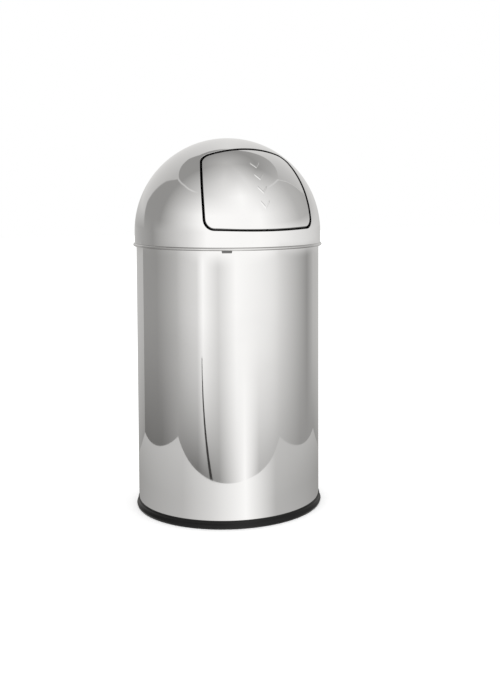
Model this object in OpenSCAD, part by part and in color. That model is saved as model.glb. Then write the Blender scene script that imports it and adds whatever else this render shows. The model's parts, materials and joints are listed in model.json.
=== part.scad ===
// Dome top waste receptacle: a stainless steel push bin with a galvanised inner bucket.
// Millimetres, +Z up, origin on the floor under the middle of the bin, mouth facing -Y.

/* [Body] */
// Outer radius of the body tube
body_r = 167; // [140:1:220]
// Height of the body tube's top edge above the floor
body_top_z = 494; // [350:1:800]
// Thickness of the stainless sheet
sheet_t = 0.7; // [0.5:0.1:1.0]
// Radius of the hem rolled inwards along the tube's top edge
hem_r = 1.6; // [1.3:0.1:2.5]
// Width of the welded overlap down the back of the tube
seam_w = 12; // [6:1:20]

/* [Base] */
// Height of the black edge ring
ring_h = 14.5; // [13:0.5:20]
// Thickness of the ring under the tube's edge
ring_floor_t = 2.5; // [2:0.1:5]
// Thickness of the ring's outer wall at its top edge
ring_wall_t = 1.5; // [1:0.1:3]
// How far the ring's foot swells out past its top edge
ring_swell = 2.6; // [1:0.1:5]
// Thickness of the ring's inner wall
ring_leg_t = 2.5; // [1.5:0.1:4]
// Height of the base plate's flat edge above the floor
plate_z = 12; // [10:0.5:16]
// Width of the base plate's flat edge, which the bucket stands on
plate_edge_w = 38; // [25:1:50]
// How far the middle of the base plate is pressed up
plate_rise = 3; // [1:0.5:5]

/* [Dome] */
// Gap between the body tube and the dome's skirt
skirt_gap = 2.3; // [2:0.1:4]
// Height of the skirt, from the middle of the bead to the start of the dome
skirt_h = 23.3; // [18:0.1:40]
// How far the dome's edge reaches below the tube's top edge
skirt_overlap = 14.9; // [12:0.1:17]
// Radius of the bead rolled along the dome's edge
bead_r = 2.6; // [1.8:0.1:2.8]

/* [Rest studs] */
// Turn of the first stud from the front of the bin
stud_turn = -24.2; // [-59:0.1:59]
// Width of a stud along the tube
stud_w = 18; // [12:1:30]
// Height of a stud's head
stud_h = 3.8; // [3.5:0.1:7]
// How far a stud's head stands out from the tube
stud_out = 3.9; // [3:0.1:4.5]
// Width of the slot in the tube
stud_slot_w = 11; // [6:0.5:11]

/* [Mouth] */
// Upward slope of the direction in which the mouth's edges are turned in
mouth_tilt = 38; // [34:1:42]
// Height of the mouth's lower edge above the start of the dome
mouth_sill = 9; // [8:0.5:20]
// Height of the mouth, square to its slope
mouth_h = 163.4; // [150:0.1:172]
// Largest width of the mouth
mouth_w = 203.4; // [170:0.1:215]
// Height above the mouth's lower edge at which it is widest
mouth_wide_at = 29; // [26:1:50]
// Radius of the mouth's side edges
mouth_side_r = 405; // [350:5:900]
// Radius of the mouth's lower edge
mouth_low_r = 240; // [220:5:400]
// Radius of the mouth's top edge
mouth_top_r = 1200; // [600:100:3000]
// Radius of the mouth's lower corners
corner_low_r = 23; // [12:1:28]
// Radius of the mouth's top corners
corner_top_r = 20; // [14:1:30]
// Width of the gap between the flap and the dome
flap_gap = 4; // [3:0.5:6]
// Depth of the dome's turned-in edge round the mouth
lip_w = 5; // [3:0.5:6]

/* [Flap] */
// Depth of the flap's face below the dome's face
flap_sink = 1.5; // [0:0.1:2]
// Depth of the flap's turned-in edge
flap_edge_w = 5; // [4:0.5:5.5]
// Angle through which the flap opens
flap_open = 50; // [40:1:50]
// Width of an embossed arrow mark
mark_w = 16; // [10:1:20]
// Height of an embossed arrow mark
mark_h = 13; // [9:1:18]
// Width of an arrow mark's strokes
mark_stroke = 3.2; // [2:0.1:4]
// Height at which the marks stand out from the flap
mark_out = 0.5; // [0.3:0.1:0.8]
// Step from one arrow mark to the next
mark_step = 26; // [20:1:30]
// Distance of the marks' middle below the middle of the mouth
mark_drop = 3; // [0:0.5:10]

/* [Hinge] */
// Radius of the hinge rod
rod_r = 3; // [2.5:0.1:4]
// Distance of the rod behind the mouth's top edge
hinge_depth = 22; // [21:0.5:25]
// Distance of the rod below the mouth's top edge
hinge_drop = 7; // [6:0.5:9]
// Distance of each flap arm from the middle
arm_x = 34; // [30:1:38]
// Distance of each hinge bracket from the middle
bracket_x = 52; // [50:1:54]
// Thickness of the arms and brackets
plate_t = 1.5; // [1:0.1:2]
// Radius of the eyes round the rod
eye_r = 7; // [6:0.1:8.5]
// Width of the feet welded to the flap and to the dome
foot_w = 12; // [8:1:14]
// Length of a bracket's foot along the dome
bracket_l = 34; // [24:1:45]
// Depth of a flap arm
arm_depth = 14; // [10:1:18]
// Length of the arms' heels, which stop the flap when open
heel_l = 22; // [20:0.5:25.5]
// Radius of the heels' round ends
heel_r = 3; // [2.5:0.1:3.4]

/* [Springs] */
// Diameter of the spring wire
wire_d = 1.6; // [1.2:0.1:1.8]
// Mean radius of the spring's curls
curl_r = 5.2; // [5:0.1:5.6]
// Number of whole curls
curls = 4; // [3:1:4]

/* [Closing stop] */
// Width of the stop plate
stop_w = 24; // [20:1:28]
// Radius of the rubber buffers' heads
buffer_r = 3.4; // [2.5:0.1:3.6]
// Length of the rubber buffers' heads
buffer_l = 5; // [4:0.5:6]
// Distance of each buffer from the middle
buffer_x = 6; // [4.5:0.5:7.5]

/* [Bucket] */
// Gap between the bucket's rim and the body tube
bucket_gap = 10.9; // [9:0.1:20]
// Distance of the bucket's rim below the tube's top edge
rim_drop = 11; // [9:0.5:40]
// Thickness of the galvanised sheet
bucket_t = 0.6; // [0.5:0.1:1.0]
// Radius of the bucket's wired rim
rim_r = 2.8; // [2.2:0.1:3.5]
// Height of the bucket's bottom above its lower edge
bucket_foot_h = 8; // [6:0.5:12]
// Width of the turned-in lower edge of the bucket
bucket_edge_w = 5; // [3:0.5:8]
// Width of the lock seam down the back of the bucket
bucket_seam_w = 7; // [5:0.5:10]

/* [Bail] */
// Diameter of the bail's wire
bail_d = 5; // [4:0.1:5.4]
// Height of the bail's pivots above the bucket's rim
bail_rise = 5; // [4.5:0.1:7]
// Thickness of the bail ears
ear_t = 1.5; // [1:0.1:2]
// Width of an ear where it is riveted
ear_w = 26; // [24:1:34]
// Radius of an ear's round top
ear_top_r = 8; // [6.5:0.5:9]
// Distance from a pivot down to the rivets
rivet_drop = 30; // [26:1:40]
// Radius of the ear rivets
rivet_r = 2; // [1.5:0.1:2.5]
// Distance between an ear's two rivets
rivet_pitch = 14; // [12:1:16]

/* [Fits] */
// Clearance between pieces that are welded, riveted or seated
seat_gap = 0.1; // [0.05:0.01:0.2]
// Clearance between pieces that turn or come off
run_gap = 0.3; // [0.2:0.05:0.4]
// Radial clearance of the rod and the bail in their holes
bore_gap = 0.06; // [0.03:0.01:0.09]

/* [Hidden] */
$fn = 120;

// Body and dome, from the floor up
body_in_r = body_r - sheet_t;
skirt_in_r = body_r + skirt_gap;
dome_r = skirt_in_r + sheet_t;
dome_in_r = dome_r - sheet_t;
dome_seat_r = dome_in_r - seat_gap;
flap_r = dome_r - flap_sink;
flap_in_r = flap_r - sheet_t;
flap_seat_r = flap_in_r - seat_gap;
bead_low_z = body_top_z - skirt_overlap;
bead_z = bead_low_z + bead_r;
dome_z = bead_z + skirt_h;
bead_cut = 1;

// Rolled edges: the angle that a curl leaves open, and the way its opening faces
curl_open = 90;
hem_faces = -90;
bead_faces = 150;

// How far a cut runs past what it cuts
over = 1;

// Base
tube_foot_z = ring_floor_t + seat_gap;
plate_r = body_in_r - seat_gap;
groove_in_r = plate_r - sheet_t - seat_gap;
plate_slope_w = 8;
swell_z = 4.5;
foot_round_r = 1.5;
foot_tuck = 1;
foot_arc = [-90, -40];
swell_arc = [-20, 30];
ring_bevel = 0.6;
leg_bevel = 1;

// Rest studs
stud_count = 3;
stud_neck_h = 2.4;
stud_taper = 0.8;
stud_back_t = 1.5;
stud_neck_sink = 0.5;
stud_z = bead_low_z - stud_h;
stud_neck_z = stud_z + (stud_h - stud_neck_h) / 2;

// Mouth outline, on a plane square to the mouth's slope: x across and s up that plane
mouth_low_s = mouth_sill * cos(mouth_tilt) - sqrt(dome_r * dome_r - mouth_sill * mouth_sill)
  * sin(mouth_tilt);
mouth_top_s = mouth_low_s + mouth_h;
low_c = [0, mouth_low_s + mouth_low_r];
side_c = [mouth_w / 2 - mouth_side_r, mouth_low_s + mouth_wide_at];
top_c = [0, mouth_top_s - mouth_top_r];
low_corner_c = meet(low_c, mouth_low_r - corner_low_r, side_c, mouth_side_r - corner_low_r, 1);
top_corner_c = meet(side_c, mouth_side_r - corner_top_r, top_c, mouth_top_r - corner_top_r, 1);
dome_edge = flap_gap / 2;
flap_edge = -flap_gap / 2;
mark_count = 4;

// Hinge, in the upright plane through the middle: p towards the mouth and q up from the
// dome's centre
hinge_s = mouth_top_s - hinge_drop;
hinge_n = sqrt(dome_r * dome_r - mouth_top_s * mouth_top_s) - hinge_depth;
hinge_p = hinge_n * cos(mouth_tilt) - hinge_s * sin(mouth_tilt);
hinge_q = hinge_n * sin(mouth_tilt) + hinge_s * cos(mouth_tilt);
hinge_pq = [hinge_p, hinge_q];
hinge_reach = norm(hinge_pq);
hinge_lift = atan2(hinge_q, hinge_p);
bracket_front = 3.2;
bracket_foot_front = 7;
bracket_back_a = 200;
arm_low_a = 27;
arm_high_a = 55;
arm_foot_high_a = 50;
arm_eye_a = [95, -100];
arm_out_r = in_plane(flap_seat_r - plate_t / 2, arm_x + plate_t);
heel_stop_r = in_plane(dome_in_r, arm_x + plate_t) - heel_r - run_gap;
heel_meet_a = acos((heel_stop_r * heel_stop_r - hinge_reach * hinge_reach - heel_l * heel_l)
  / (2 * hinge_reach * heel_l));
heel_a = hinge_lift + heel_meet_a + flap_open;
heel_tip = hinge_pq + polar(heel_l, heel_a);
clip_r = 6;
clip_t = 2;
rod_end = 1;
rod_l = 2 * (bracket_x + plate_t + run_gap + clip_t + rod_end);

// Springs
wire_r = wire_d / 2;
spring_side_gap = 1;
spring_in_x = arm_x + 2 * plate_t + run_gap + wire_r;
spring_out_x = bracket_x - run_gap - wire_r - spring_side_gap;
push_lag = 15.5;
hold_lead = 17.5;
push_a = hinge_lift - push_lag;
hold_a = hinge_lift + hold_lead;
push_pq = polar(in_plane(flap_seat_r - plate_t, spring_in_x) - wire_r - run_gap, push_a);
hold_pq = polar(in_plane(dome_in_r, spring_out_x) - wire_r - run_gap, hold_a);
push_turn = heading(hinge_pq, push_pq) + acos(curl_r / norm(push_pq - hinge_pq));
hold_turn = heading(hinge_pq, hold_pq) - acos(curl_r / norm(hold_pq - hinge_pq)) + 360 * curls;
ring_per_curl = 8;
wire_sides = 6;
leg_rings = 3;

// Closing stop, in the mouth's own directions: s up its plane and n out of it
stop_t = 1.2;
stop_back = 2;
stop_edge = 1;
stop_low_sag = mouth_low_r - sqrt(mouth_low_r * mouth_low_r - stop_w * stop_w / 4);
stop_s = mouth_low_s - flap_edge + sheet_t + stop_low_sag + seat_gap;
lip_mid_s = mouth_low_s - dome_edge - sheet_t / 2;
lip_tip_n = depth_at(dome_r - lip_w, buffer_x + buffer_r, lip_mid_s - sheet_t / 2);
buffer_n = lip_tip_n - run_gap;
stop_n = buffer_n - buffer_l - stop_t;
stop_out_n = depth_at(flap_seat_r, stop_w / 2, stop_s) - stop_back;
stop_low_s = lip_mid_s - buffer_r - stop_edge;
buffer_stem_r = 1.5;
buffer_tail_r = 2.3;
buffer_tail_l = 2;

// Bucket
bucket_z = plate_z + sheet_t + seat_gap;
rim_top_z = body_top_z - rim_drop;
rim_z = rim_top_z - rim_r;
rim_c_r = body_in_r - bucket_gap - rim_r;
bucket_in_r = rim_c_r - rim_r;
bucket_r = bucket_in_r + bucket_t;
bucket_seam_t = 1.2;

// Bail: its arc, the elbows tangent to it, and the ends through the ears
bail_r = bail_d / 2;
bail_z = rim_top_z + bail_rise;
ear_r = bucket_in_r - seat_gap;
ear_in_r = ear_r - ear_t;
elbow_in_r = 0.7;
elbow_r = bail_r + elbow_in_r;
bail_arc_r = ear_r + run_gap + elbow_r;
bail_shift = 0.8;
elbow_x = sqrt((bail_arc_r - elbow_r) * (bail_arc_r - elbow_r)
  - (elbow_r - bail_shift) * (elbow_r - bail_shift));
elbow_a = atan2(elbow_r - bail_shift, elbow_x);
bail_lean = bail_arc_r + bail_shift - rim_c_r;
bail_rest = sqrt((rim_r + bail_r + seat_gap) * (rim_r + bail_r + seat_gap) - bail_lean * bail_lean);
bail_droop = asin((bail_rise + rim_r - bail_rest) / (bail_arc_r + bail_shift));
joint_bead = 0.05;
ear_foot_h = 24;
bail_head_r = 3.6;
bail_head_t = 1.6;
bail_end_l = 4;
bail_end_x = ear_in_r - bail_end_l;
rivet_head_r = 3.6;
rivet_head_t = 1.4;
rivet_a = asin(rivet_pitch / 2 / bucket_r);

// A point at radius r and angle a
function polar(r, a) = r * [cos(a), sin(a)];
// Angle of the direction from point c to point p
function heading(c, p) = atan2(p[1] - c[1], p[0] - c[0]);
// Radius of the circle in which a sphere of radius r meets the plane x
function in_plane(r, x) = sqrt(r * r - x * x);
// Distance out along the mouth's slope at which a sphere of radius r is met
function depth_at(r, x, s) = sqrt(r * r - x * x - s * s);
// Points along an arc, without its last point
function arc_points(c, r, a0, a1, steps) =
  [for (i = [0:steps - 1]) c + polar(r, a0 + (a1 - a0) * i / steps)];
// Where two circles meet, on the side given by 1 or -1
function meet(c1, r1, c2, r2, side) =
  let (d = norm(c2 - c1), u = (c2 - c1) / d)
  let (a = (r1 * r1 - r2 * r2 + d * d) / (2 * d))
  c1 + a * u + side * sqrt(r1 * r1 - a * a) * [-u[1], u[0]];
// Right half of the mouth's outline, moved outwards by d, from the bottom to the top
function mouth_half(d) = concat(
  arc_points(low_c, mouth_low_r + d, -90, heading(low_c, low_corner_c), 5),
  arc_points(low_corner_c, corner_low_r + d,
    heading(low_c, low_corner_c), heading(side_c, low_corner_c), 5),
  arc_points(side_c, mouth_side_r + d,
    heading(side_c, low_corner_c), heading(side_c, top_corner_c), 6),
  arc_points(top_corner_c, corner_top_r + d,
    heading(side_c, top_corner_c), heading(top_c, top_corner_c), 5),
  arc_points(top_c, mouth_top_r + d, heading(top_c, top_corner_c), 90, 2),
  [[0, mouth_top_s + d]]
);
// The whole outline: the right half, then its mirror image back down
function mouth_outline(d) =
  let (half = mouth_half(d), last = len(half) - 1)
  concat(half, [for (i = [last - 1:-1:1]) [-half[i][0], half[i][1]]]);

// Turns the mouth's own directions, x across, s up its plane and n out of it, into the bin's
module on_mouth() {
  translate([0, 0, dome_z]) rotate([90 - mouth_tilt, 0, 0]) children();
}

// Turns a flat outline drawn with p forward and q up into a plate between x0 and x0 + t
module upright(x0, t) {
  translate([x0, 0, dome_z]) rotate([90, 0, 90]) linear_extrude(t) mirror([1, 0]) children();
}

// The column that passes through the mouth's outline moved outwards by d
module mouth_column(d) {
  on_mouth() linear_extrude(dome_r + over) polygon(mouth_outline(d));
}

module ball(r) {
  translate([0, 0, dome_z]) sphere(r);
}

module ball_shell(r_out, r_in) {
  difference() {
    ball(r_out);
    ball(r_in);
  }
}

// Rolled edge: a ring section of wall t, whose opening faces the direction a
module curl_section(r, t, a) {
  difference() {
    circle(r, $fn = 48);
    circle(r - t, $fn = 48);
    polygon([[0, 0], polar(2 * r, a - curl_open / 2), polar(2 * r, a + curl_open / 2)]);
  }
}

// ---- Body ----

module body_shell() {
  color([0.80, 0.80, 0.81])
  difference() {
    union() {
      rotate_extrude() {
        translate([body_in_r, tube_foot_z])
          square([sheet_t, body_top_z - hem_r - tube_foot_z]);
        translate([body_r - hem_r, body_top_z - hem_r]) curl_section(hem_r, sheet_t, hem_faces);
      }
      seam_overlap();
    }
    for (i = [0:stud_count - 1])
      rotate([0, 0, stud_turn + 360 * i / stud_count])
        translate([-stud_slot_w / 2, -body_r - over, stud_neck_z - seat_gap])
          cube([stud_slot_w, sheet_t + 2 * over, stud_neck_h + 2 * seat_gap]);
  }
}

// The inner edge of the sheet, lapped behind the outer one and welded
module seam_overlap() {
  angle = seam_w / body_in_r * 180 / PI;
  height = body_top_z - skirt_overlap - plate_z - 2 * sheet_t;
  rotate([0, 0, 90 - angle / 2])
    rotate_extrude(angle = angle)
      translate([body_in_r - sheet_t, plate_z + 2 * sheet_t])
        square([1.5 * sheet_t, height]);
}

module base_plate() {
  edge_in_r = plate_r - plate_edge_w;
  rise_r = edge_in_r - plate_slope_w;
  top_z = plate_z + sheet_t;
  color([0.72, 0.72, 0.73])
  rotate_extrude() {
    polygon([
      [0, plate_z + plate_rise], [rise_r, plate_z + plate_rise], [edge_in_r, plate_z],
      [plate_r, plate_z], [plate_r, top_z], [edge_in_r, top_z],
      [rise_r, top_z + plate_rise], [0, top_z + plate_rise]
    ]);
    translate([plate_r - sheet_t, tube_foot_z]) square([sheet_t, top_z - tube_foot_z]);
  }
}

module base_ring() {
  groove_out_r = body_r + seat_gap;
  top_r = groove_out_r + ring_wall_t;
  foot_r = top_r + ring_swell - foot_round_r;
  leg_r = groove_in_r - ring_leg_t;
  leg_z = plate_z - 3 * seat_gap;
  color([0.10, 0.10, 0.11])
  rotate_extrude()
    polygon(concat(
      [[leg_r + leg_bevel, 0]],
      arc_points([foot_r - foot_tuck, foot_round_r], foot_round_r, foot_arc[0], foot_arc[1], 4),
      arc_points([foot_r, swell_z], foot_round_r, swell_arc[0], swell_arc[1], 4),
      [
        [top_r, ring_h - ring_bevel], [top_r - ring_bevel, ring_h], [groove_out_r, ring_h],
        [groove_out_r, ring_floor_t], [groove_in_r, ring_floor_t],
        [groove_in_r, leg_z], [leg_r, leg_z], [leg_r, leg_bevel]
      ]
    ));
}

module rest_studs() {
  color([0.13, 0.12, 0.13])
  for (i = [0:stud_count - 1]) rotate([0, 0, stud_turn + 360 * i / stud_count]) rest_stud();
}

// A plug in the tube's slot: the dome's bead rests on its head
module rest_stud() {
  head_h = stud_h - seat_gap;
  neck_w = stud_slot_w - 2 * seat_gap;
  reach = body_r + stud_out + over;
  intersection() {
    tube_section(body_r + stud_out, body_r + seat_gap);
    translate([0, 0, stud_z])
      rotate([90, 0, 0]) linear_extrude(reach) stud_face(stud_w, head_h);
  }
  intersection() {
    tube_section(body_r + seat_gap + stud_neck_sink, body_in_r - seat_gap - stud_neck_sink);
    translate([-neck_w / 2, -reach, stud_neck_z]) cube([neck_w, reach, stud_neck_h]);
  }
  intersection() {
    tube_section(body_in_r - seat_gap, body_in_r - seat_gap - stud_back_t);
    translate([-stud_w / 2, -reach, stud_z]) cube([stud_w, reach, stud_h]);
  }
}

// A ring as tall as a stud, with a little to spare above and below
module tube_section(r_out, r_in) {
  translate([0, 0, stud_z - over])
    difference() {
      cylinder(h = stud_h + 2 * over, r = r_out);
      translate([0, 0, -over]) cylinder(h = stud_h + 4 * over, r = r_in);
    }
}

// The head's outline seen from outside, narrower at its foot
module stud_face(w, h) {
  polygon([[-w / 2 + stud_taper, 0], [w / 2 - stud_taper, 0], [w / 2, h], [-w / 2, h]]);
}

// ---- Dome ----

module dome_shell() {
  color([0.82, 0.82, 0.83])
  difference() {
    union() {
      rotate_extrude() {
        intersection() {
          translate([0, dome_z])
            difference() {
              circle(dome_r);
              circle(dome_in_r);
            }
          translate([0, dome_z]) square(dome_r + over);
        }
        translate([dome_in_r, bead_z]) square([sheet_t, skirt_h]);
        translate([skirt_in_r + bead_r - sheet_t - bead_cut, bead_z])
          curl_section(bead_r, sheet_t, bead_faces);
      }
      intersection() {
        mouth_column(dome_edge + sheet_t);
        ball_shell(dome_r - sheet_t / 2, dome_r - lip_w);
      }
    }
    mouth_column(dome_edge);
  }
}

// Plate welded under the dome behind the mouth, with an eye for the hinge rod
module hinge_bracket() {
  color([0.70, 0.70, 0.72])
  difference() {
    union() {
      upright(bracket_x, plate_t) translate(hinge_pq) circle(eye_r);
      intersection() {
        ball(dome_seat_r);
        upright(bracket_x, plate_t)
          polygon([
            [hinge_p - bracket_front, hinge_q], [hinge_p - bracket_front, dome_r],
            [hinge_p - bracket_foot_front - bracket_l, dome_r],
            hinge_pq + polar(eye_r, bracket_back_a)
          ]);
      }
      intersection() {
        ball_shell(dome_seat_r, dome_seat_r - plate_t);
        translate([bracket_x, bracket_foot_front - hinge_p, dome_z])
          cube([foot_w, bracket_l, dome_r]);
      }
    }
    upright(bracket_x - over, plate_t + 2 * over) translate(hinge_pq) circle(rod_r + bore_gap);
  }
}

module hinge_bracket_left() {
  mirror([1, 0, 0]) hinge_bracket();
}

module hinge_bracket_right() {
  hinge_bracket();
}

module hinge_rod() {
  color([0.66, 0.66, 0.68])
  upright(-rod_l / 2, rod_l) translate(hinge_pq) circle(rod_r);
}

module rod_clips() {
  color([0.45, 0.45, 0.47])
  for (side = [0, 1])
    mirror([side, 0, 0])
      upright(bracket_x + plate_t + run_gap, clip_t)
        translate(hinge_pq)
          difference() {
            circle(clip_r);
            circle(rod_r + seat_gap / 5);
          }
}

// ---- Closing springs ----

// Middle line of a spring: the leg that pushes the flap, the curls, then the held leg
function spring_x(a) =
  spring_in_x + (spring_out_x - spring_in_x) * (a - push_turn) / (hold_turn - push_turn);
function spring_point(x, pq) = [x, -pq[0], pq[1] + dome_z];
function leg_points(x, from, to, steps) =
  [for (i = [0:steps]) spring_point(x, from + (to - from) * i / steps)];
coil_rings = round(ring_per_curl * (hold_turn - push_turn) / 360);
coil_line = [
  for (i = [0:coil_rings])
    let (a = push_turn + (hold_turn - push_turn) * i / coil_rings)
    spring_point(spring_x(a), hinge_pq + polar(curl_r, a))
];
push_leg = leg_points(spring_in_x, push_pq, hinge_pq + polar(curl_r, push_turn), leg_rings);
hold_leg = leg_points(spring_out_x, hinge_pq + polar(curl_r, hold_turn), hold_pq, leg_rings);
spring_line = concat(
  [for (i = [0:leg_rings - 1]) push_leg[i]],
  coil_line,
  [for (i = [1:leg_rings]) hold_leg[i]]
);

// Least gap between one curl and the next, measured on the middle line
curl_gaps = [
  for (i = [0:coil_rings - ring_per_curl])
    for (j = [i + ring_per_curl - 2:min(coil_rings, i + ring_per_curl + 2)])
      norm(coil_line[i] - coil_line[j]) - wire_d
];
echo(least_gap_between_curls = min(curl_gaps));

// A round wire carried along a line of points that never runs along X
module wire_along(line, r, sides) {
  last = len(line) - 1;
  tangents = [for (i = [0:last]) line[min(i + 1, last)] - line[max(i - 1, 0)]];
  points = [
    for (i = [0:last])
      let (t = tangents[i] / norm(tangents[i]))
      let (u0 = cross(t, [1, 0, 0]), u = u0 / norm(u0), v = cross(t, u))
      for (k = [0:sides - 1]) line[i] + r * (cos(360 * k / sides) * u + sin(360 * k / sides) * v)
  ];
  walls = [
    for (i = [0:last - 1], k = [0:sides - 1])
      let (a = i * sides + k, b = i * sides + (k + 1) % sides)
      for (face = [[a, b, b + sides], [a, b + sides, a + sides]]) face
  ];
  ends = [
    for (k = [1:sides - 2])
      for (face = [[0, k + 1, k], [last * sides, last * sides + k, last * sides + k + 1]]) face
  ];
  polyhedron(points, concat(walls, ends));
}

module closing_spring_right() {
  color([0.55, 0.55, 0.57]) wire_along(spring_line, wire_r, wire_sides);
}

module closing_spring_left() {
  mirror([1, 0, 0]) closing_spring_right();
}

// ---- Flap ----

module flap_panel() {
  color([0.84, 0.84, 0.85])
  union() {
    intersection() {
      mouth_column(flap_edge);
      difference() {
        ball(flap_r);
        ball(flap_r - flap_edge_w);
        intersection() {
          ball(flap_in_r);
          mouth_column(flap_edge - sheet_t);
        }
      }
    }
    arrow_marks();
  }
}

// Four plain arrow marks in a column, pressed out of the flap
module arrow_marks() {
  mid_s = (mouth_low_s + mouth_top_s) / 2 - mark_drop;
  first_s = mid_s - (mark_count - 1) / 2 * mark_step;
  intersection() {
    ball_shell(flap_r + mark_out, flap_r - sheet_t / 2);
    on_mouth()
      linear_extrude(dome_r + over)
        for (i = [0:mark_count - 1]) translate([0, first_s + i * mark_step]) arrow_mark();
  }
}

module arrow_mark() {
  polygon([
    [0, -mark_h / 2], [mark_w / 2, mark_h / 2 - mark_stroke], [mark_w / 2, mark_h / 2],
    [0, mark_stroke - mark_h / 2], [-mark_w / 2, mark_h / 2], [-mark_w / 2, mark_h / 2 - mark_stroke]
  ]);
}

// Plate from the rod to the flap's back, with a heel that meets the dome when the flap is open
module flap_arm() {
  heel_side = polar(heel_r, heel_a + 90);
  color([0.70, 0.70, 0.72])
  difference() {
    union() {
      upright(arm_x, plate_t)
        difference() {
          union() {
            intersection() {
              difference() {
                circle(arm_out_r);
                circle(arm_out_r - arm_depth);
              }
              wedge(arm_low_a, arm_high_a);
            }
            polygon([
              hinge_pq + polar(eye_r, arm_eye_a[0]), polar(arm_out_r - seat_gap, arm_high_a),
              polar(arm_out_r - arm_depth, arm_foot_high_a), hinge_pq + polar(eye_r, arm_eye_a[1])
            ]);
            translate(hinge_pq) circle(eye_r);
            translate(heel_tip) circle(heel_r);
            polygon([
              hinge_pq + heel_side, hinge_pq - heel_side,
              heel_tip - heel_side, heel_tip + heel_side
            ]);
          }
        }
      intersection() {
        ball_shell(flap_seat_r, flap_seat_r - plate_t);
        upright(arm_x, foot_w) wedge(arm_low_a, arm_foot_high_a);
      }
    }
    upright(arm_x - over, plate_t + 2 * over) translate(hinge_pq) circle(rod_r + bore_gap);
  }
}

// The part of the upright plane between two angles, as seen from the dome's centre
module wedge(low, high) {
  polygon([[0, 0], polar(2 * dome_r, low), polar(2 * dome_r, high)]);
}

module flap_arm_left() {
  mirror([1, 0, 0]) flap_arm();
}

module flap_arm_right() {
  flap_arm();
}

// Angle plate welded on the flap's lower edge; its buffers meet the dome's lip
module stop_plate() {
  color([0.70, 0.70, 0.72])
  on_mouth()
    difference() {
      union() {
        translate([-stop_w / 2, stop_s, stop_n]) cube([stop_w, stop_t, stop_out_n - stop_n]);
        translate([-stop_w / 2, stop_low_s, stop_n])
          cube([stop_w, stop_s - stop_low_s + stop_t / 2, stop_t]);
      }
      for (side = [-1, 1])
        translate([side * buffer_x, lip_mid_s, stop_n - over])
          cylinder(h = stop_t + 2 * over, r = buffer_stem_r + seat_gap);
    }
}

module stop_buffers() {
  color([0.12, 0.12, 0.12])
  on_mouth()
    for (side = [-1, 1])
      translate([side * buffer_x, lip_mid_s, stop_n - seat_gap]) {
        translate([0, 0, stop_t + 2 * seat_gap])
          cylinder(h = buffer_l - 2 * seat_gap, r = buffer_r, $fn = 48);
        cylinder(h = stop_t + 3 * seat_gap, r = buffer_stem_r, $fn = 32);
        translate([0, 0, -buffer_tail_l]) cylinder(h = buffer_tail_l, r = buffer_tail_r, $fn = 32);
      }
}

// ---- Bucket ----

module bucket_shell() {
  seam_a = bucket_seam_w / bucket_r * 180 / PI;
  color([0.62, 0.63, 0.64])
  difference() {
    union() {
      rotate_extrude() {
        translate([bucket_in_r, bucket_z]) square([bucket_t, rim_z - bucket_z]);
        translate([bucket_r - bucket_edge_w, bucket_z]) square([bucket_edge_w, bucket_t]);
        translate([rim_c_r, rim_z]) circle(rim_r, $fn = 48);
      }
      rotate([0, 0, 90 - seam_a / 2])
        rotate_extrude(angle = seam_a)
          translate([bucket_r - bucket_t / 2, bucket_z + bucket_foot_h])
            square([bucket_seam_t + bucket_t / 2, rim_z - rim_r - bucket_z - bucket_foot_h]);
    }
    for (side = [0, 180], a = [-rivet_a, rivet_a])
      rotate([0, 0, side + a])
        rivet_hole();
  }
}

// The hole for one rivet, through the bucket's wall and an ear
module rivet_hole() {
  translate([ear_in_r - over, 0, bail_z - rivet_drop])
    rotate([0, 90, 0])
      cylinder(h = bucket_r - ear_in_r + 2 * over, r = rivet_r + seat_gap / 2, $fn = 32);
}

module bucket_base() {
  base_r = bucket_in_r - seat_gap;
  floor_z = bucket_z + bucket_foot_h;
  skirt_z = bucket_z + bucket_t + seat_gap;
  color([0.60, 0.61, 0.62])
  rotate_extrude() {
    translate([0, floor_z]) square([base_r, bucket_t]);
    translate([base_r - bucket_t, skirt_z]) square([bucket_t, floor_z + bucket_t - skirt_z]);
  }
}

// Strap riveted inside the bucket, standing above the rim with the bail's pivot hole
module bail_ear() {
  foot_z = bail_z - rivet_drop - ear_foot_h / 2;
  shoulder_z = bail_z - rivet_drop + ear_foot_h / 2;
  ear_h = bail_z + ear_top_r + over - foot_z;
  color([0.58, 0.59, 0.60])
  difference() {
    intersection() {
      translate([0, 0, foot_z])
        difference() {
          cylinder(h = ear_h, r = ear_r);
          translate([0, 0, -over]) cylinder(h = ear_h + 2 * over, r = ear_in_r);
        }
      translate([ear_in_r - ear_w / 2, 0, 0])
        rotate([90, 0, 90])
          linear_extrude(ear_w) {
            translate([0, bail_z]) circle(ear_top_r, $fn = 64);
            polygon([
              [-ear_w / 2, foot_z], [ear_w / 2, foot_z], [ear_w / 2, shoulder_z],
              [ear_top_r, bail_z], [-ear_top_r, bail_z], [-ear_w / 2, shoulder_z]
            ]);
          }
    }
    translate([ear_in_r - over, 0, bail_z])
      rotate([0, 90, 0]) cylinder(h = ear_t + 2 * over, r = bail_r + bore_gap, $fn = 64);
    for (a = [-rivet_a, rivet_a])
      rotate([0, 0, a])
        rivet_hole();
  }
}

module bail_ear_left() {
  mirror([1, 0, 0]) bail_ear();
}

module bail_ear_right() {
  bail_ear();
}

module ear_rivets() {
  grip = bucket_r - ear_in_r + 2 * seat_gap;
  color([0.64, 0.65, 0.66])
  for (side = [0, 180], a = [-rivet_a, rivet_a])
    rotate([0, 0, side + a])
      translate([ear_in_r - seat_gap, 0, bail_z - rivet_drop])
        rotate([0, 90, 0]) {
          cylinder(h = grip, r = rivet_r, $fn = 32);
          translate([0, 0, grip]) cylinder(h = rivet_head_t, r = rivet_head_r, $fn = 32);
          translate([0, 0, -rivet_head_t]) cylinder(h = rivet_head_t, r = rivet_head_r, $fn = 32);
        }
}

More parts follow.
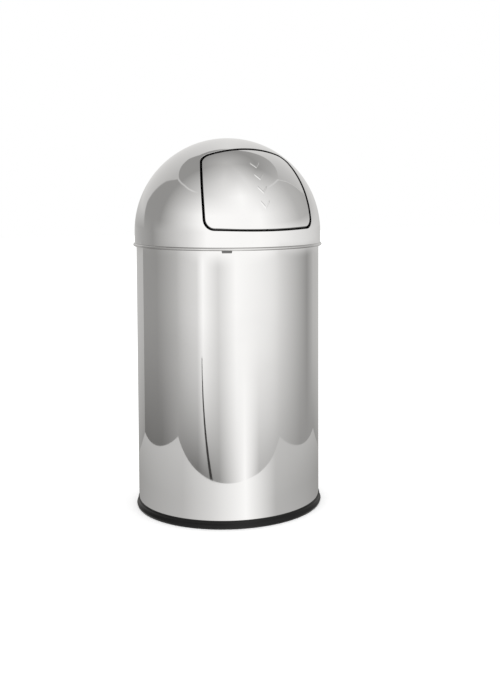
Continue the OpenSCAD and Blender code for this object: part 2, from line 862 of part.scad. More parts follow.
module bail() {
  color([0.66, 0.67, 0.68])
  translate([0, 0, bail_z])
    rotate([-bail_droop, 0, 0]) {
      translate([0, bail_shift, 0])
        rotate([0, 0, elbow_a])
          rotate_extrude(angle = 180 - 2 * elbow_a)
            translate([bail_arc_r, 0]) circle(bail_r, $fn = 32);
      for (side = [0, 1])
        mirror([side, 0, 0]) {
          translate([elbow_x, elbow_r, 0])
            rotate([0, 0, -90])
              rotate_extrude(angle = 90 + elbow_a)
                translate([elbow_r, 0]) circle(bail_r, $fn = 32);
          translate([elbow_x + elbow_r * cos(elbow_a), elbow_r + elbow_r * sin(elbow_a), 0])
            sphere(bail_r + joint_bead, $fn = 32);
          translate([elbow_x, 0, 0]) sphere(bail_r + joint_bead, $fn = 32);
          translate([bail_end_x, 0, 0])
            rotate([0, 90, 0]) cylinder(h = elbow_x - bail_end_x, r = bail_r, $fn = 32);
          translate([bail_end_x - bail_head_t, 0, 0])
            rotate([0, 90, 0]) cylinder(h = bail_head_t, r = bail_head_r, $fn = 32);
        }
    }
}

body_shell();
base_plate();
base_ring();
rest_studs();
dome_shell();
hinge_bracket_left();
hinge_bracket_right();
hinge_rod();
rod_clips();
closing_spring_left();
closing_spring_right();
flap_panel();
flap_arm_left();
flap_arm_right();
stop_plate();
stop_buffers();
bucket_shell();
bucket_base();
bail_ear_left();
bail_ear_right();
ear_rivets();
bail();
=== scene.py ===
"""Dresses the dome top waste receptacle: its polished shell, edge ring, flap, bucket and studio.

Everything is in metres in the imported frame: +Z up, the mouth facing -Y, the floor at z = 0. Sizes
in the panel are in millimetres, as a sheet metal worker would give them.
"""

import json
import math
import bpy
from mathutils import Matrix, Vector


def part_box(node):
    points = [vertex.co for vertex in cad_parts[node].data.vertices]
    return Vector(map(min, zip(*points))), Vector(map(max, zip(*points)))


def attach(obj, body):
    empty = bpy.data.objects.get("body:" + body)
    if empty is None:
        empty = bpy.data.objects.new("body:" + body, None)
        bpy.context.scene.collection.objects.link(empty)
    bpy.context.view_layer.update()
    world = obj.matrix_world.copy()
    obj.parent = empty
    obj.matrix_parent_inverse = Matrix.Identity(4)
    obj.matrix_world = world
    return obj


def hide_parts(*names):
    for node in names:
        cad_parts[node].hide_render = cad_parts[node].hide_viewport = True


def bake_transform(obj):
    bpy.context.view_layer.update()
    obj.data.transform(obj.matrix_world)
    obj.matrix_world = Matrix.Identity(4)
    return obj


bl_info = {
    "name": "Dome top waste receptacle",
    "version": (1, 0, 0),
    "blender": (4, 5, 0),
    "location": "3D View > Sidebar > Receptacle",
    "description": "Builds the finished surfaces of a dome top waste receptacle and its studio",
    "category": "Object",
}

from functools import partialmethod

import bpy
import numpy as np
from bpy.props import FloatProperty, FloatVectorProperty, IntProperty, PointerProperty
from bpy.types import Operator, Panel, PropertyGroup

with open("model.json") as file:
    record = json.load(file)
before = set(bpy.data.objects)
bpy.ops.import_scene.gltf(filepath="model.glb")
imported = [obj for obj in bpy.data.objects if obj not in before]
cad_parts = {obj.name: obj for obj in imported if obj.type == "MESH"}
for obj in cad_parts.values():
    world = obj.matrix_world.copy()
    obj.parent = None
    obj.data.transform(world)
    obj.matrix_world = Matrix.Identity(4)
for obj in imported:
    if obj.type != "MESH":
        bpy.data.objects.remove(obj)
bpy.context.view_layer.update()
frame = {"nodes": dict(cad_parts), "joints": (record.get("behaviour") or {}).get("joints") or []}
MM = 0.001


# ---- Sizes and finishes that a user would change ----


def size(name, description, default):
    """A size in millimetres."""
    return FloatProperty(name=name, description=description, default=default, min=0.0)


def angle(name, description, default):
    """An angle, given in degrees."""
    turn = math.radians(default)
    return FloatProperty(name=name, description=description, default=turn, subtype="ANGLE")


def tint(name, description, default):
    """A plain colour."""
    limits = {"size": 3, "subtype": "COLOR", "min": 0, "max": 1}
    return FloatVectorProperty(name=name, description=description, default=default, **limits)


class ShellSizes(PropertyGroup):
    """Sizes of the tube, the dome and the ring."""

    tube_radius: size("Tube radius", "Outer radius of the body tube", 167.0)
    tube_top: size("Tube top", "Height of the tube's top edge", 494.0)
    sheet: size("Sheet", "Thickness of the stainless sheet", 0.7)
    hem_radius: size("Hem radius", "Radius of the tube's rolled hem", 1.6)
    dome_radius: size("Dome radius", "Outer radius of the dome", 170.0)
    dome_centre: size("Dome centre", "Height of the dome's centre", 505.0)
    bead_radius: size("Bead radius", "Radius of the bead along the dome's edge", 2.6)
    bead_height: size("Bead height", "Height of the bead's middle", 481.7)
    ring_height: size("Ring height", "Height of the edge ring", 14.5)
    bend_radius: size("Bend radius", "Radius of the bends round the mouth", 0.6)


class MouthSizes(PropertyGroup):
    """Sizes of the mouth, its gap and the marks on the flap."""

    tilt: angle("Tilt", "Slope of the mouth", 38.0)
    sill: size("Sill", "Height of the mouth's lower edge above the dome's centre", 9.0)
    height: size("Height", "Height of the mouth along its slope", 163.4)
    width: size("Width", "Largest width of the mouth", 203.4)
    widest_at: size("Widest at", "Where the mouth is widest, from its lower edge", 29.0)
    side_radius: size("Side radius", "Radius of the side edges", 405.0)
    low_radius: size("Low radius", "Radius of the lower edge", 240.0)
    top_radius: size("Top radius", "Radius of the top edge", 1200.0)
    low_corner: size("Low corner", "Radius of the lower corners", 23.0)
    top_corner: size("Top corner", "Radius of the top corners", 20.0)
    gap: size("Gap", "Width of the gap round the flap", 4.0)
    sink: size("Sink", "Depth of the flap's face below the dome's face", 1.5)
    lip: size("Lip", "Depth of the dome's turned-in edge", 5.0)
    flap_edge: size("Flap edge", "Depth of the flap's turned-in edge", 5.0)
    mark_width: size("Mark width", "Width of an arrow mark", 16.0)
    mark_height: size("Mark height", "Height of an arrow mark", 13.0)
    mark_stroke: size("Mark stroke", "Upright width of a mark's strokes", 3.2)
    mark_out: size("Mark relief", "How far the marks stand out", 0.5)
    mark_step: size("Mark step", "Distance between marks", 26.0)
    mark_drop: size("Mark drop", "Distance of the marks below the middle", 3.0)


class SpringSizes(PropertyGroup):
    """Sizes of the two closing springs, whose legs lean on the flap and on the dome."""

    wire: size("Wire", "Diameter of the spring wire", 1.6)
    curl_radius: size("Curl radius", "Mean radius of the curls", 5.2)
    curls: IntProperty(name="Curls", description="Whole curls round the rod", default=4, min=1)
    plate: size("Plate", "Thickness of the plate on the flap that a leg pushes", 1.5)
    play: size("Play", "Clearance between a leg and what it leans on", 0.3)
    seat: size("Seat", "Clearance between the plate and the flap", 0.1)
    push_lag: angle("Push lag", "Turn from the rod down to the pushing leg's end", 15.5)
    hold_lead: angle("Hold lead", "Turn from the rod up to the held leg's end", 17.5)


class Finishes(PropertyGroup):
    """Colours of the finishes."""

    steel: tint("Polished steel", "Colour of the polished sheet", (0.82, 0.82, 0.825))
    mill_steel: tint("Mill steel", "Colour of the unpolished sheet inside", (0.60, 0.60, 0.61))
    rubber: tint("Rubber", "Colour of the edge ring and the buffers", (0.003, 0.003, 0.0033))
    stud: tint("Studs", "Colour of the rest studs", (0.15, 0.148, 0.145))
    zinc: tint("Galvanised sheet", "Colour of the bucket", (0.52, 0.54, 0.55))
    wire: tint("Zinc wire", "Colour of the bail and rivets", (0.58, 0.59, 0.60))
    spring: tint("Spring wire", "Colour of the springs and clips", (0.35, 0.35, 0.36))


# ---- Shapes as whole arrays ----


def unit(vectors):
    """The vectors at length 1."""
    return vectors / np.linalg.norm(vectors, axis=-1, keepdims=True)


def rays(a):
    """Unit directions (cos a, sin a)."""
    return np.stack([np.cos(a), np.sin(a)], -1)


def run(start, end, steps=2):
    """Straight stretch of a profile. Points are start + t (end - start); the normal is the travel
    direction turned a quarter to the right, which points out of a profile drawn anticlockwise."""
    start, end = np.array(start, float), np.array(end, float)
    t = np.linspace(0, 1, steps)[:, None]
    points, along = start + t * (end - start), unit(end - start)
    return np.hstack([points, np.broadcast_to([along[1], -along[0]], points.shape)])


def bend(centre, radius, first, last, steps=8):
    """Arc of a profile. Points are centre + radius (cos a, sin a) with a from first to last in
    degrees; the normal points away from the centre going anticlockwise, and to it otherwise."""
    ray = rays(np.radians(np.linspace(first, last, steps)))
    return np.hstack([np.array(centre) + radius * ray, ray if last > first else -ray])


def joined(*parts):
    """Parts of a profile end to end, without the points that two parts share."""
    rows = np.vstack(parts)
    keep = np.ones(len(rows), bool)
    keep[1:] = np.abs(np.diff(rows, axis=0)).max(1) > 1e-6
    return rows[keep]


def full_turn(steps):
    """Angles once round."""
    return np.linspace(0, 2 * np.pi, steps, endpoint=False)


def spun(profile, angles):
    """Profile turned about Z. Row i, column j is (r_i cos a_j, r_i sin a_j, z_i), and its normal
    is the profile's, turned the same way."""
    r, z, nr, nz = profile.T[:, :, None]
    c, s = np.cos(angles), np.sin(angles)
    return np.stack([np.stack([a * c, a * s, b + 0 * c], -1) for a, b in ((r, z), (nr, nz))])


def grid_faces(rows, columns, close_rows, close_columns):
    """Quads between neighbouring rows and columns of a grid that is numbered row by row."""
    i = np.arange(rows if close_rows else rows - 1)[:, None]
    j = np.arange(columns if close_columns else columns - 1)[None]
    up, over = (i + 1) % rows, (j + 1) % columns
    corners = (i * columns + j, i * columns + over, up * columns + over, up * columns + j)
    return np.stack(np.broadcast_arrays(*corners), -1).reshape(-1, 4)


def numbered(part, base):
    """The numbers of a face's points. Its first and last rows are single points, so one number
    stands for each."""
    grid = base + np.arange(part[0].size // 3).reshape(part.shape[1:3])
    grid[[0, -1]] = grid[[0, -1], -1:]
    return grid


def rim(grid):
    """The numbers round a face, in the order of the whole outline."""
    return np.concatenate([grid[:, -1], grid[-2:0:-1, 0]])


def cells(grid, closed=False):
    """Quads of a grid of point numbers."""
    return grid.ravel()[grid_faces(*grid.shape, False, closed)]


def enclosed(points, quads):
    """Signed volume inside closed quads: a sixth of the sum of a . (b x c) over their triangles."""
    return np.linalg.det(points[quads][:, [[0, 1, 2], [0, 2, 3]]]).sum() / 6


def trimmed(points, quads, normals):
    """The points that the quads use, with the quads numbered anew."""
    used = np.unique(quads)
    number = np.full(len(points), -1)
    number[used] = np.arange(len(used))
    return points[used], number[quads], normals[used]


def wire(line, radius, sides=12, cap_steps=4):
    """Round wire along a line of points that never runs along X, with half ball ends. Around each
    point c with direction t it has c + radius (cos a u + sin a v), where u and v are square to t,
    and at the ends c + radius (sin b t + cos b (cos a u + sin a v)) with b to a quarter turn."""
    way = unit(np.gradient(line, axis=0))
    b = np.linspace(0, np.pi / 2, cap_steps)[1:]
    lean = np.concatenate([-b[::-1], np.zeros(len(line)), b])[:, None]
    centres, way = (
        np.concatenate([np.repeat(row[:1], len(b), 0), row, np.repeat(row[-1:], len(b), 0)])
        for row in (line, way)
    )
    u = unit(np.cross(way, [1.0, 0.0, 0.0]))
    a = full_turn(sides)[:, None]
    ring = np.cos(a) * u[:, None] + np.sin(a) * np.cross(way, u)[:, None]
    normals = np.cos(lean)[..., None] * ring + (np.sin(lean) * way)[:, None]
    points = centres[:, None] + radius * normals
    number = np.arange(len(points) * sides)
    number[:sides], number[-sides:] = 0, len(number) - sides
    quads = number[grid_faces(len(points), sides, False, True)]
    return trimmed(points.reshape(-1, 3), quads, normals.reshape(-1, 3))


def stood(name, mesh):
    """A mesh stood in the scene as an object."""
    obj = bpy.data.objects.new(name, mesh)
    bpy.context.scene.collection.objects.link(obj)
    return obj


def piece(name, points, quads, normals=None):
    """A mesh object from millimetre points and closed quads, turned so that its faces point out.
    Exact normals replace Blender's own wherever they are given and are numbers."""
    points = points.reshape(-1, 3)
    if enclosed(points, quads) < 0:
        quads = quads[:, ::-1]
    mesh = bpy.data.meshes.new(name)
    faces = [tuple(dict.fromkeys(q)) for q in quads.tolist()]
    mesh.from_pydata((points * MM).tolist(), [], [f for f in faces if len(f) > 2])
    mesh.polygons.foreach_set("use_smooth", np.ones(len(mesh.polygons), bool))
    mesh.update()
    if normals is not None:
        own = np.empty(len(mesh.vertices) * 3, np.float32)
        mesh.vertex_normals.foreach_get("vector", own)
        own = own.reshape(-1, 3)
        normals = normals.reshape(-1, 3)
        given = np.isfinite(normals).all(1)
        own[given] = normals[given]
        mesh.normals_split_custom_set_from_vertices(own.tolist())
    return stood(name, mesh)


def turned_piece(name, profile, exact=True, steps=288):
    """A closed profile turned once round the bin's axis, shaded by its exact normals or not."""
    points, normals = spun(profile, full_turn(steps))
    quads = grid_faces(*points.shape[:2], True, True)
    return piece(name, points, quads, normals if exact else None)


def dress(obj, body, replaced, finish_name):
    """Gives a piece its finish and its place in the frame."""
    obj.data.materials.append(finish(finish_name))
    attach(obj, body)
    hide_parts(replaced)


# ---- The mouth's outline ----


class Mouth:
    """The mouth in its own directions: x across, s up its slope, n out of it. In the bin's frame
    these are (1, 0, 0), (0, sin e, cos e) and (0, -cos e, sin e), where e is the tilt."""

    def __init__(self, shell, mouth, counts):
        self.centre = np.array([0, 0, shell.dome_centre])
        sin, cos = math.sin(mouth.tilt), math.cos(mouth.tilt)
        self.axes = np.array([[1, 0, 0], [0, sin, cos], [0, -cos, sin]])
        self.low = mouth.sill * cos - math.sqrt(shell.dome_radius**2 - mouth.sill**2) * sin
        self.top = self.low + mouth.height
        aside = mouth.width / 2 - mouth.side_radius
        low = ((0, self.low + mouth.low_radius), mouth.low_radius)
        side = ((aside, self.low + mouth.widest_at), mouth.side_radius)
        top = ((0, self.top - mouth.top_radius), mouth.top_radius)
        low_corner = self.tangent(low, side, mouth.low_corner)
        top_corner = self.tangent(side, top, mouth.top_corner)
        meetings = ((low, low_corner), (side, low_corner), (side, top_corner), (top, top_corner))
        turn = [-90, *(self.heading(a, b) for a, b in meetings), 90]
        arcs = [low, low_corner, side, top_corner, top]
        self.arcs = [(*c, turn[k], turn[k + 1], counts[k]) for k, c in enumerate(arcs)]

    @staticmethod
    def heading(a, b):
        """Angle in degrees of the direction from circle a's centre to circle b's."""
        return math.degrees(math.atan2(b[0][1] - a[0][1], b[0][0] - a[0][0]))

    @staticmethod
    def tangent(a, b, r):
        """Circle of radius r that touches circles a and b from inside, on their right hand side.
        Its centre is where circles of radii ra - r and rb - r about theirs meet."""
        (ca, ra), (cb, rb) = ((np.array(c), k - r) for c, k in (a, b))
        d = np.linalg.norm(cb - ca)
        u = (cb - ca) / d
        t = (ra * ra - rb * rb + d * d) / (2 * d)
        c = ca + t * u + math.sqrt(ra * ra - t * t) * np.array([-u[1], u[0]])
        return tuple(c), r

    def half(self, out):
        """Right half of the outline moved out by out, from the bottom to the top: points and
        outward directions, each arc as centre + (radius + out)(cos a, sin a)."""
        points, ways = [], []
        for centre, radius, first, last, count in self.arcs:
            ways.append(rays(np.radians(np.linspace(first, last, count, endpoint=False))))
            points.append(np.array(centre) + (radius + out) * ways[-1])
        points.append([[0, self.top + out]])
        ways.append([[0, 1]])
        points = np.vstack(points)
        points[0, 0] = 0
        return points, np.vstack(ways)

    def whole(self, out):
        """The right half, then its mirror image back down."""
        return [np.vstack([rows, rows[-2:0:-1] * [-1, 1]]) for rows in self.half(out)]

    def depth(self, flat, radius):
        """n at which a sphere of that radius is met above the flat point (x, s)."""
        return np.sqrt(radius**2 - (flat**2).sum(-1))

    def place(self, flat, n):
        """Points (x, s) at depth n, in the bin's frame."""
        local = np.concatenate([flat, np.broadcast_to(n, flat.shape[:-1])[..., None]], -1)
        return local @ self.axes + self.centre

    def ways(self, flat):
        """Directions (x, s) in the bin's frame."""
        return flat @ self.axes[:2]

    def outward(self, points):
        """Unit directions from the dome's centre."""
        return unit(points - self.centre)

    def over(self, out, radius):
        """n at which a sphere of that radius is met, all along the outline moved out by out."""
        return self.depth(self.whole(out)[0], radius)

    def bent_rows(self, edge, facing, bend_radius, radius, steps=7):
        """Rounded bend from the sphere into the turned-in edge that stands at outline distance
        edge. With b from 0 to a quarter turn, the distance from the edge is f (1 - sin b) and the
        depth below the sphere f (1 - cos b); the normal turns from the sphere's to the edge's."""
        rows, normals = [], []
        for b in np.linspace(0, np.pi / 2, steps):
            flat, ways = self.whole(edge - facing * bend_radius * (1 - math.sin(b)))
            n = self.depth(flat, radius)
            ball = self.outward(self.place(flat, n))
            rows.append(self.place(flat, n - bend_radius * (1 - math.cos(b))))
            normals.append(unit(math.cos(b) * ball + math.sin(b) * facing * self.ways(ways)))
        return np.stack([rows, normals])

    def wall_rows(self, edge, facing, from_n, to_n, steps=3):
        """Rows of the turned-in edge's face, from one depth to another along n."""
        flat, ways = self.whole(edge)
        rows = [self.place(flat, from_n + (to_n - from_n) * t) for t in np.linspace(0, 1, steps)]
        return np.stack([rows, [facing * self.ways(ways)] * steps])

    def tip_rows(self, start, end, radius, sheet, steps=5):
        """Half round end of the sheet between outline distances start and end."""
        rows = []
        for b in np.linspace(0, np.pi, steps)[1:-1]:
            flat, _ = self.whole((start + end) / 2 + (start - end) / 2 * math.cos(b))
            n = self.depth(flat, radius) + sheet / 2
            rows.append(self.place(flat, n - abs(end - start) / 2 * math.sin(b)))
        return np.stack([rows, np.full_like(rows, np.nan)])

    def turned_in(self, edge, facing, bend_radius, sheet, radius, depth, short=0.0):
        """The sheet's turned-in edge as rows: the bend from the sphere of that radius, the face
        down to depth below it, the half round end, and the back, which ends short of the inside."""
        back, tip = edge - facing * sheet, radius - depth
        face_foot, back_foot = (self.over(out, tip) + sheet / 2 for out in (edge, back))
        face_top = self.over(edge, radius) - bend_radius
        back_top = self.over(back, radius - sheet) - short
        return np.concatenate([
            self.bent_rows(edge, facing, bend_radius, radius)[:, 1:],
            self.wall_rows(edge, facing, face_top, face_foot),
            self.tip_rows(edge, back, tip, sheet),
            self.wall_rows(back, -facing, back_foot, back_top),
        ], axis=1)


# ---- Materials ----


class Signal:
    """What a shader node puts out. Arithmetic on it makes the nodes that work it out."""

    def __init__(self, socket):
        self.socket, self.tree = socket, socket.id_data

    def maths(self, operation, other=0.0, clamp=False):
        return add(self.tree, "Math", {0: self, 1: other}, operation=operation, use_clamp=clamp)

    def __rsub__(self, other):
        return add(self.tree, "Math", {0: other, 1: self}, operation="SUBTRACT")


ARITHMETIC = {"add": "ADD", "sub": "SUBTRACT", "mul": "MULTIPLY", "truediv": "DIVIDE"}
for sign, operation in {**ARITHMETIC, "pow": "POWER", "abs": "ABSOLUTE"}.items():
    setattr(Signal, f"__{sign}__", partialmethod(Signal.maths, operation))


def feed(socket, value):
    """Links a signal to an input, or sets the input to a plain value."""
    if isinstance(value, Signal):
        value.tree.links.new(value.socket, socket)
    else:
        socket.default_value = value


def node(tree, kind, inputs=None, **settings):
    """A shader node with its settings, and its inputs linked or set."""
    made = tree.nodes.new("ShaderNode" + kind)
    for key, value in settings.items():
        setattr(made, key, value)
    for key, value in (inputs or {}).items():
        feed(made.inputs[key], value)
    return made


def add(tree, kind, inputs=None, out=0, **settings):
    """The output that is used of a new shader node."""
    return Signal(node(tree, kind, inputs, **settings).outputs[out])


def signals(made):
    """A node's outputs, in order."""
    return [Signal(socket) for socket in made.outputs]


def apart(vector):
    """The three parts of a vector."""
    return signals(node(vector.tree, "SeparateXYZ", {0: vector}))


def length(vector):
    """A vector's length."""
    return add(vector.tree, "VectorMath", {0: vector}, "Value", operation="LENGTH")


def noise(spot, scale, detail):
    """Cloudy noise from 0 to 1."""
    return add(spot.tree, "TexNoise", {"Vector": spot, "Scale": scale, "Detail": detail})


def ranged(value, low, high, to_low=0.0, to_high=1.0, smooth=False):
    """A value carried from one range to another, without passing its ends."""
    kind = "SMOOTHSTEP" if smooth else "LINEAR"
    inputs = {0: value, 1: low, 2: high, 3: to_low, 4: to_high}
    return add(value.tree, "MapRange", inputs, interpolation_type=kind)


def blend(share, first, second):
    """From the first colour to the second."""
    inputs = {"Factor": share, 6: first, 7: second}
    return add(share.tree, "Mix", inputs, 2, data_type="RGBA")


def shaded(colour, share=1.0):
    """A colour made darker or lighter, with its alpha."""
    return (*(min(1, c * share) for c in colour), 1)


def group(name, wanted, given):
    """A node group with sockets of those kinds: whether it is new and has to be filled, its tree,
    its inputs by name and where its outputs go."""
    if name in bpy.data.node_groups:
        return False, bpy.data.node_groups[name], {}, None
    tree = bpy.data.node_groups.new(name, "ShaderNodeTree")
    for way, sockets in (("INPUT", wanted), ("OUTPUT", given)):
        for socket, kind in sockets.items():
            tree.interface.new_socket(socket, in_out=way, socket_type="NodeSocket" + kind)
    start, end = tree.nodes.new("NodeGroupInput"), tree.nodes.new("NodeGroupOutput")
    return True, tree, {s.name: Signal(s) for s in start.outputs if s.name}, end.inputs


def handling_group():
    """Uneven polish: broad cloudy haze, fine rubbed streaks and a few small specks.

    Haze is low noise, streaks are noise stretched along one direction, specks are where a cell
    pattern's distance is small; Roughness adds them to Base, and Height is the streaks' relief."""
    wanted = {**dict.fromkeys(("Base", "Haze", "Streaks", "Specks"), "Float"), "Position": "Vector"}
    made = dict.fromkeys(("Roughness", "Height", "Haze mask"), "Float")
    new, tree, given, end = group("handled polish", wanted, made)
    if new:
        spot = given["Position"]
        haze = ranged(noise(spot, 6.0, 4.0), 0.42, 0.72, smooth=True)
        drawn_out = add(tree, "Mapping", {0: spot, "Scale": (900.0, 900.0, 24.0)})
        streak = noise(drawn_out, 1.0, 2.0)
        speck = ranged(add(tree, "TexVoronoi", {"Vector": spot, "Scale": 95.0}), 0.03, 0.06, 1, 0)
        rough = haze * given["Haze"] + given["Base"]
        feed(end[0], rough + streak * given["Streaks"] + speck * given["Specks"])
        feed(end[1], streak)
        feed(end[2], haze)
    return tree


def handled(spot, base, haze, streaks, specks):
    """The handled polish placed in a material: its roughness, its relief and its haze."""
    inputs = {"Base": base, "Haze": haze, "Streaks": streaks, "Specks": specks, "Position": spot}
    return signals(node(spot.tree, "Group", inputs, node_tree=handling_group()))


def new_material(name, inputs):
    """A material, its shader with those inputs, and the object's own coordinates."""
    material = bpy.data.materials.new(name)
    material.use_nodes = True
    shader = material.node_tree.nodes["Principled BSDF"]
    for key, value in inputs.items():
        shader.inputs[key].default_value = value
    return material, shader.inputs, add(material.node_tree, "TexCoord", None, "Object")


def surface(shader, colour, rough, height, strength, distance):
    """Gives a shader its colour, its gloss and its relief."""
    relief = {"Height": height, "Strength": strength, "Distance": distance}
    feed(shader["Base Color"], colour)
    feed(shader["Roughness"], rough)
    feed(shader["Normal"], add(height.tree, "Bump", relief))


def unpolished_and_painted_shade(spot, centre, radius, edge_shade_grey):
    """Share by which a point of a domed sheet lies behind its polished face, and its colour there:
    mill grey inside, and on the turned-in edges the given edge grey, a dark grey that stands partly
    for the rough edge and partly as painted shade of the gap round the flap. The depth is the
    face's radius less the distance from the dome's centre, or from its axis below that. The
    normal's cosine to the ray from there tells the inside from the edges."""
    face_depth, bare_depth = 0.0002, 0.0005
    fully_inside, fully_edge = -0.7, -0.42
    mill_grey = 0.5
    x, y, z = apart(spot)
    up = (z - centre).maths("MAXIMUM")
    ray = add(spot.tree, "CombineXYZ", {0: x, 1: y, 2: up})
    away = length(ray)
    behind = ranged(radius - away, face_depth, bare_depth, smooth=True)
    normal = Signal(spot.socket.node.outputs["Normal"])
    out = add(spot.tree, "VectorMath", {0: normal, 1: ray}, "Value", operation="DOT_PRODUCT")
    inside = ranged(out / away, fully_inside, fully_edge, 1.0, 0.0)
    return behind, blend(inside, shaded([edge_shade_grey] * 3), shaded([mill_grey] * 3))


def polished_steel(name, colour, sheet_wave=0.0, seam=False, bead=None, face=None):
    """Mirror polished sheet: slightly uneven gloss, a weld line down the back where asked, and
    painted shade in the crease over a bead of (height, radius) and under its middle, where the
    polish is also rougher.
    Behind a domed face of (centre height, radius, grey of its edges) the sheet has no polish, and
    its turned-in edges take that dark grey as painted shade of the gap."""
    material, shader, spot = new_material(name, {"Metallic": 1.0})
    rough, height, haze = handled(spot, 0.025, 0.028, 0.010, 0.05)
    x, y, z = apart(spot)
    colour = blend(haze, shaded(colour), shaded(colour, 0.965))
    if bead:
        middle, radius = bead
        # painted shade: the crease over the bead and the bead under its middle are darkened in
        # colour, and the rest of the bead a little, as if shaded; the same share also makes them
        # rougher.
        painted_shade_colour = (0.10, 0.09, 0.08, 1)
        above = z - middle
        crease = ranged(abs(above - radius), 0.0002, 0.001, 0.5, 0.0, smooth=True)
        under = ranged(above, -0.75 * radius, -0.25 * radius, 0.5, 0.2, smooth=True)
        painted_shade_and_dull = crease.maths("MAXIMUM", under * above.maths("LESS_THAN", radius))
        colour = blend(painted_shade_and_dull, colour, painted_shade_colour)
        rough = rough + painted_shade_and_dull * 0.25
    # painted shade: the turned-in edges round the mouth are darkened to the given edge grey to
    # stand in for the shade in the gap; the inside gets mill grey.
    if face:
        behind, plain = unpolished_and_painted_shade(spot, *face)
        colour = blend(behind, colour, plain)
        rough = rough + behind * 0.3
    height = height * 0.02
    if sheet_wave:
        height = height + noise(spot, 3.2, 1.0) * sheet_wave
    if seam:
        line = ranged(abs(x), 0.0004, 0.0011, 1.0, 0.0, smooth=True)
        line = line * y.maths("GREATER_THAN")
        rough = rough + line * 0.22
        height = height - line * 0.35
    surface(shader, colour, rough, height, 0.35, 0.0004)
    return material


def moulded_rubber(name, colour, gloss, roughness):
    """Moulded rubber: satin, finely grained, with a faint grey bloom."""
    material, shader, spot = new_material(name, {"Specular IOR Level": gloss})
    bloom = ranged(noise(spot, 18.0, 5.0), 0.45, 0.75, smooth=True)
    shade = blend(bloom, shaded(colour), shaded(colour, 1.7))
    rough = ranged(bloom, 0, 1, roughness, roughness + 0.12)
    surface(shader, shade, rough, noise(spot, 1400.0, 2.0), 0.25, 0.0002)
    return material


def galvanised(name, colour):
    """Hot dipped sheet: cells of zinc crystals, each a little lighter or darker and rougher."""
    material, shader, spot = new_material(name, {"Metallic": 1.0})
    crystals = node(spot.tree, "TexVoronoi", {"Vector": spot, "Scale": 85.0})
    distance, chance, _ = signals(crystals)[:3]
    share = add(spot.tree, "SeparateColor", {0: chance})
    shade = blend(share, shaded(colour, 0.86), shaded(colour, 1.12))
    surface(shader, shade, ranged(share, 0, 1, 0.30, 0.46), distance, 0.12, 0.0003)
    return material


def rubbed_metal(name, colour, roughness):
    """Plain sheet or wire: mill grain and a little haze."""
    material, shader, spot = new_material(name, {"Metallic": 1.0})
    rough, height, haze = handled(spot, roughness, 0.10, 0.12, 0.1)
    surface(shader, blend(haze, shaded(colour), shaded(colour, 0.88)), rough, height, 0.15, 0.0002)
    return material


def finish(name):
    """The named finish, made once."""
    if name in bpy.data.materials:
        return bpy.data.materials[name]
    scene = bpy.context.scene
    shell, colours = scene.bin_shell, scene.bin_finishes
    bead = (shell.bead_height * MM, shell.bead_radius * MM)
    centre, radius = shell.dome_centre * MM, shell.dome_radius * MM
    # The last number of each face is the grey of its turned-in edges, dark as painted shade of the
    # gap round the flap.
    dome_face, flap_face = (centre, radius, 0.4), (centre, radius - scene.bin_mouth.sink * MM, 0.15)
    maker, *values = {
        "polished tube": (polished_steel, colours.steel, 0.6, True),
        "polished dome": (polished_steel, colours.steel, 0.0, False, bead, dome_face),
        "polished flap": (polished_steel, colours.steel, 0.0, False, None, flap_face),
        "mill steel": (rubbed_metal, colours.mill_steel, 0.22),
        "black rubber": (moulded_rubber, colours.rubber, 0.3, 0.28),
        "grey rubber": (moulded_rubber, colours.stud, 0.4, 0.36),
        "galvanised sheet": (galvanised, colours.zinc),
        "zinc wire": (rubbed_metal, colours.wire, 0.25),
        "spring wire": (rubbed_metal, colours.spring, 0.28),
    }[name]
    return maker(name, *values)


# ---- Pieces ----


class BIN_OT_body_tube(Operator):
    """Builds the polished tube with its rolled hem"""

    bl_idname = "bin.body_tube"
    bl_label = "Body tube"

    def execute(self, context):
        s = context.scene.bin_shell
        broken, closed_at = 0.2, 225
        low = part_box("body_shell")[0].z / MM + broken
        inner = s.tube_radius - s.sheet
        hem = (s.tube_radius - s.hem_radius, s.tube_top - s.hem_radius)
        tip = hem + (s.hem_radius - s.sheet / 2) * rays(math.radians(closed_at))
        profile = joined(
            run((s.tube_radius, low), (s.tube_radius, hem[1]), 12),
            bend(hem, s.hem_radius, 0, closed_at, 24),
            bend(tip, s.sheet / 2, closed_at, closed_at + 180, 8),
            bend(hem, s.hem_radius - s.sheet, closed_at, 0, 16),
            run((inner, hem[1]), (inner, low), 12),
            bend((inner + broken, low), broken, 180, 270, 4),
            bend((s.tube_radius - broken, low), broken, 270, 360, 4),
        )
        tube = turned_piece("body_tube", profile)
        dress(tube, "body", "body_shell", "polished tube")
        return {"FINISHED"}


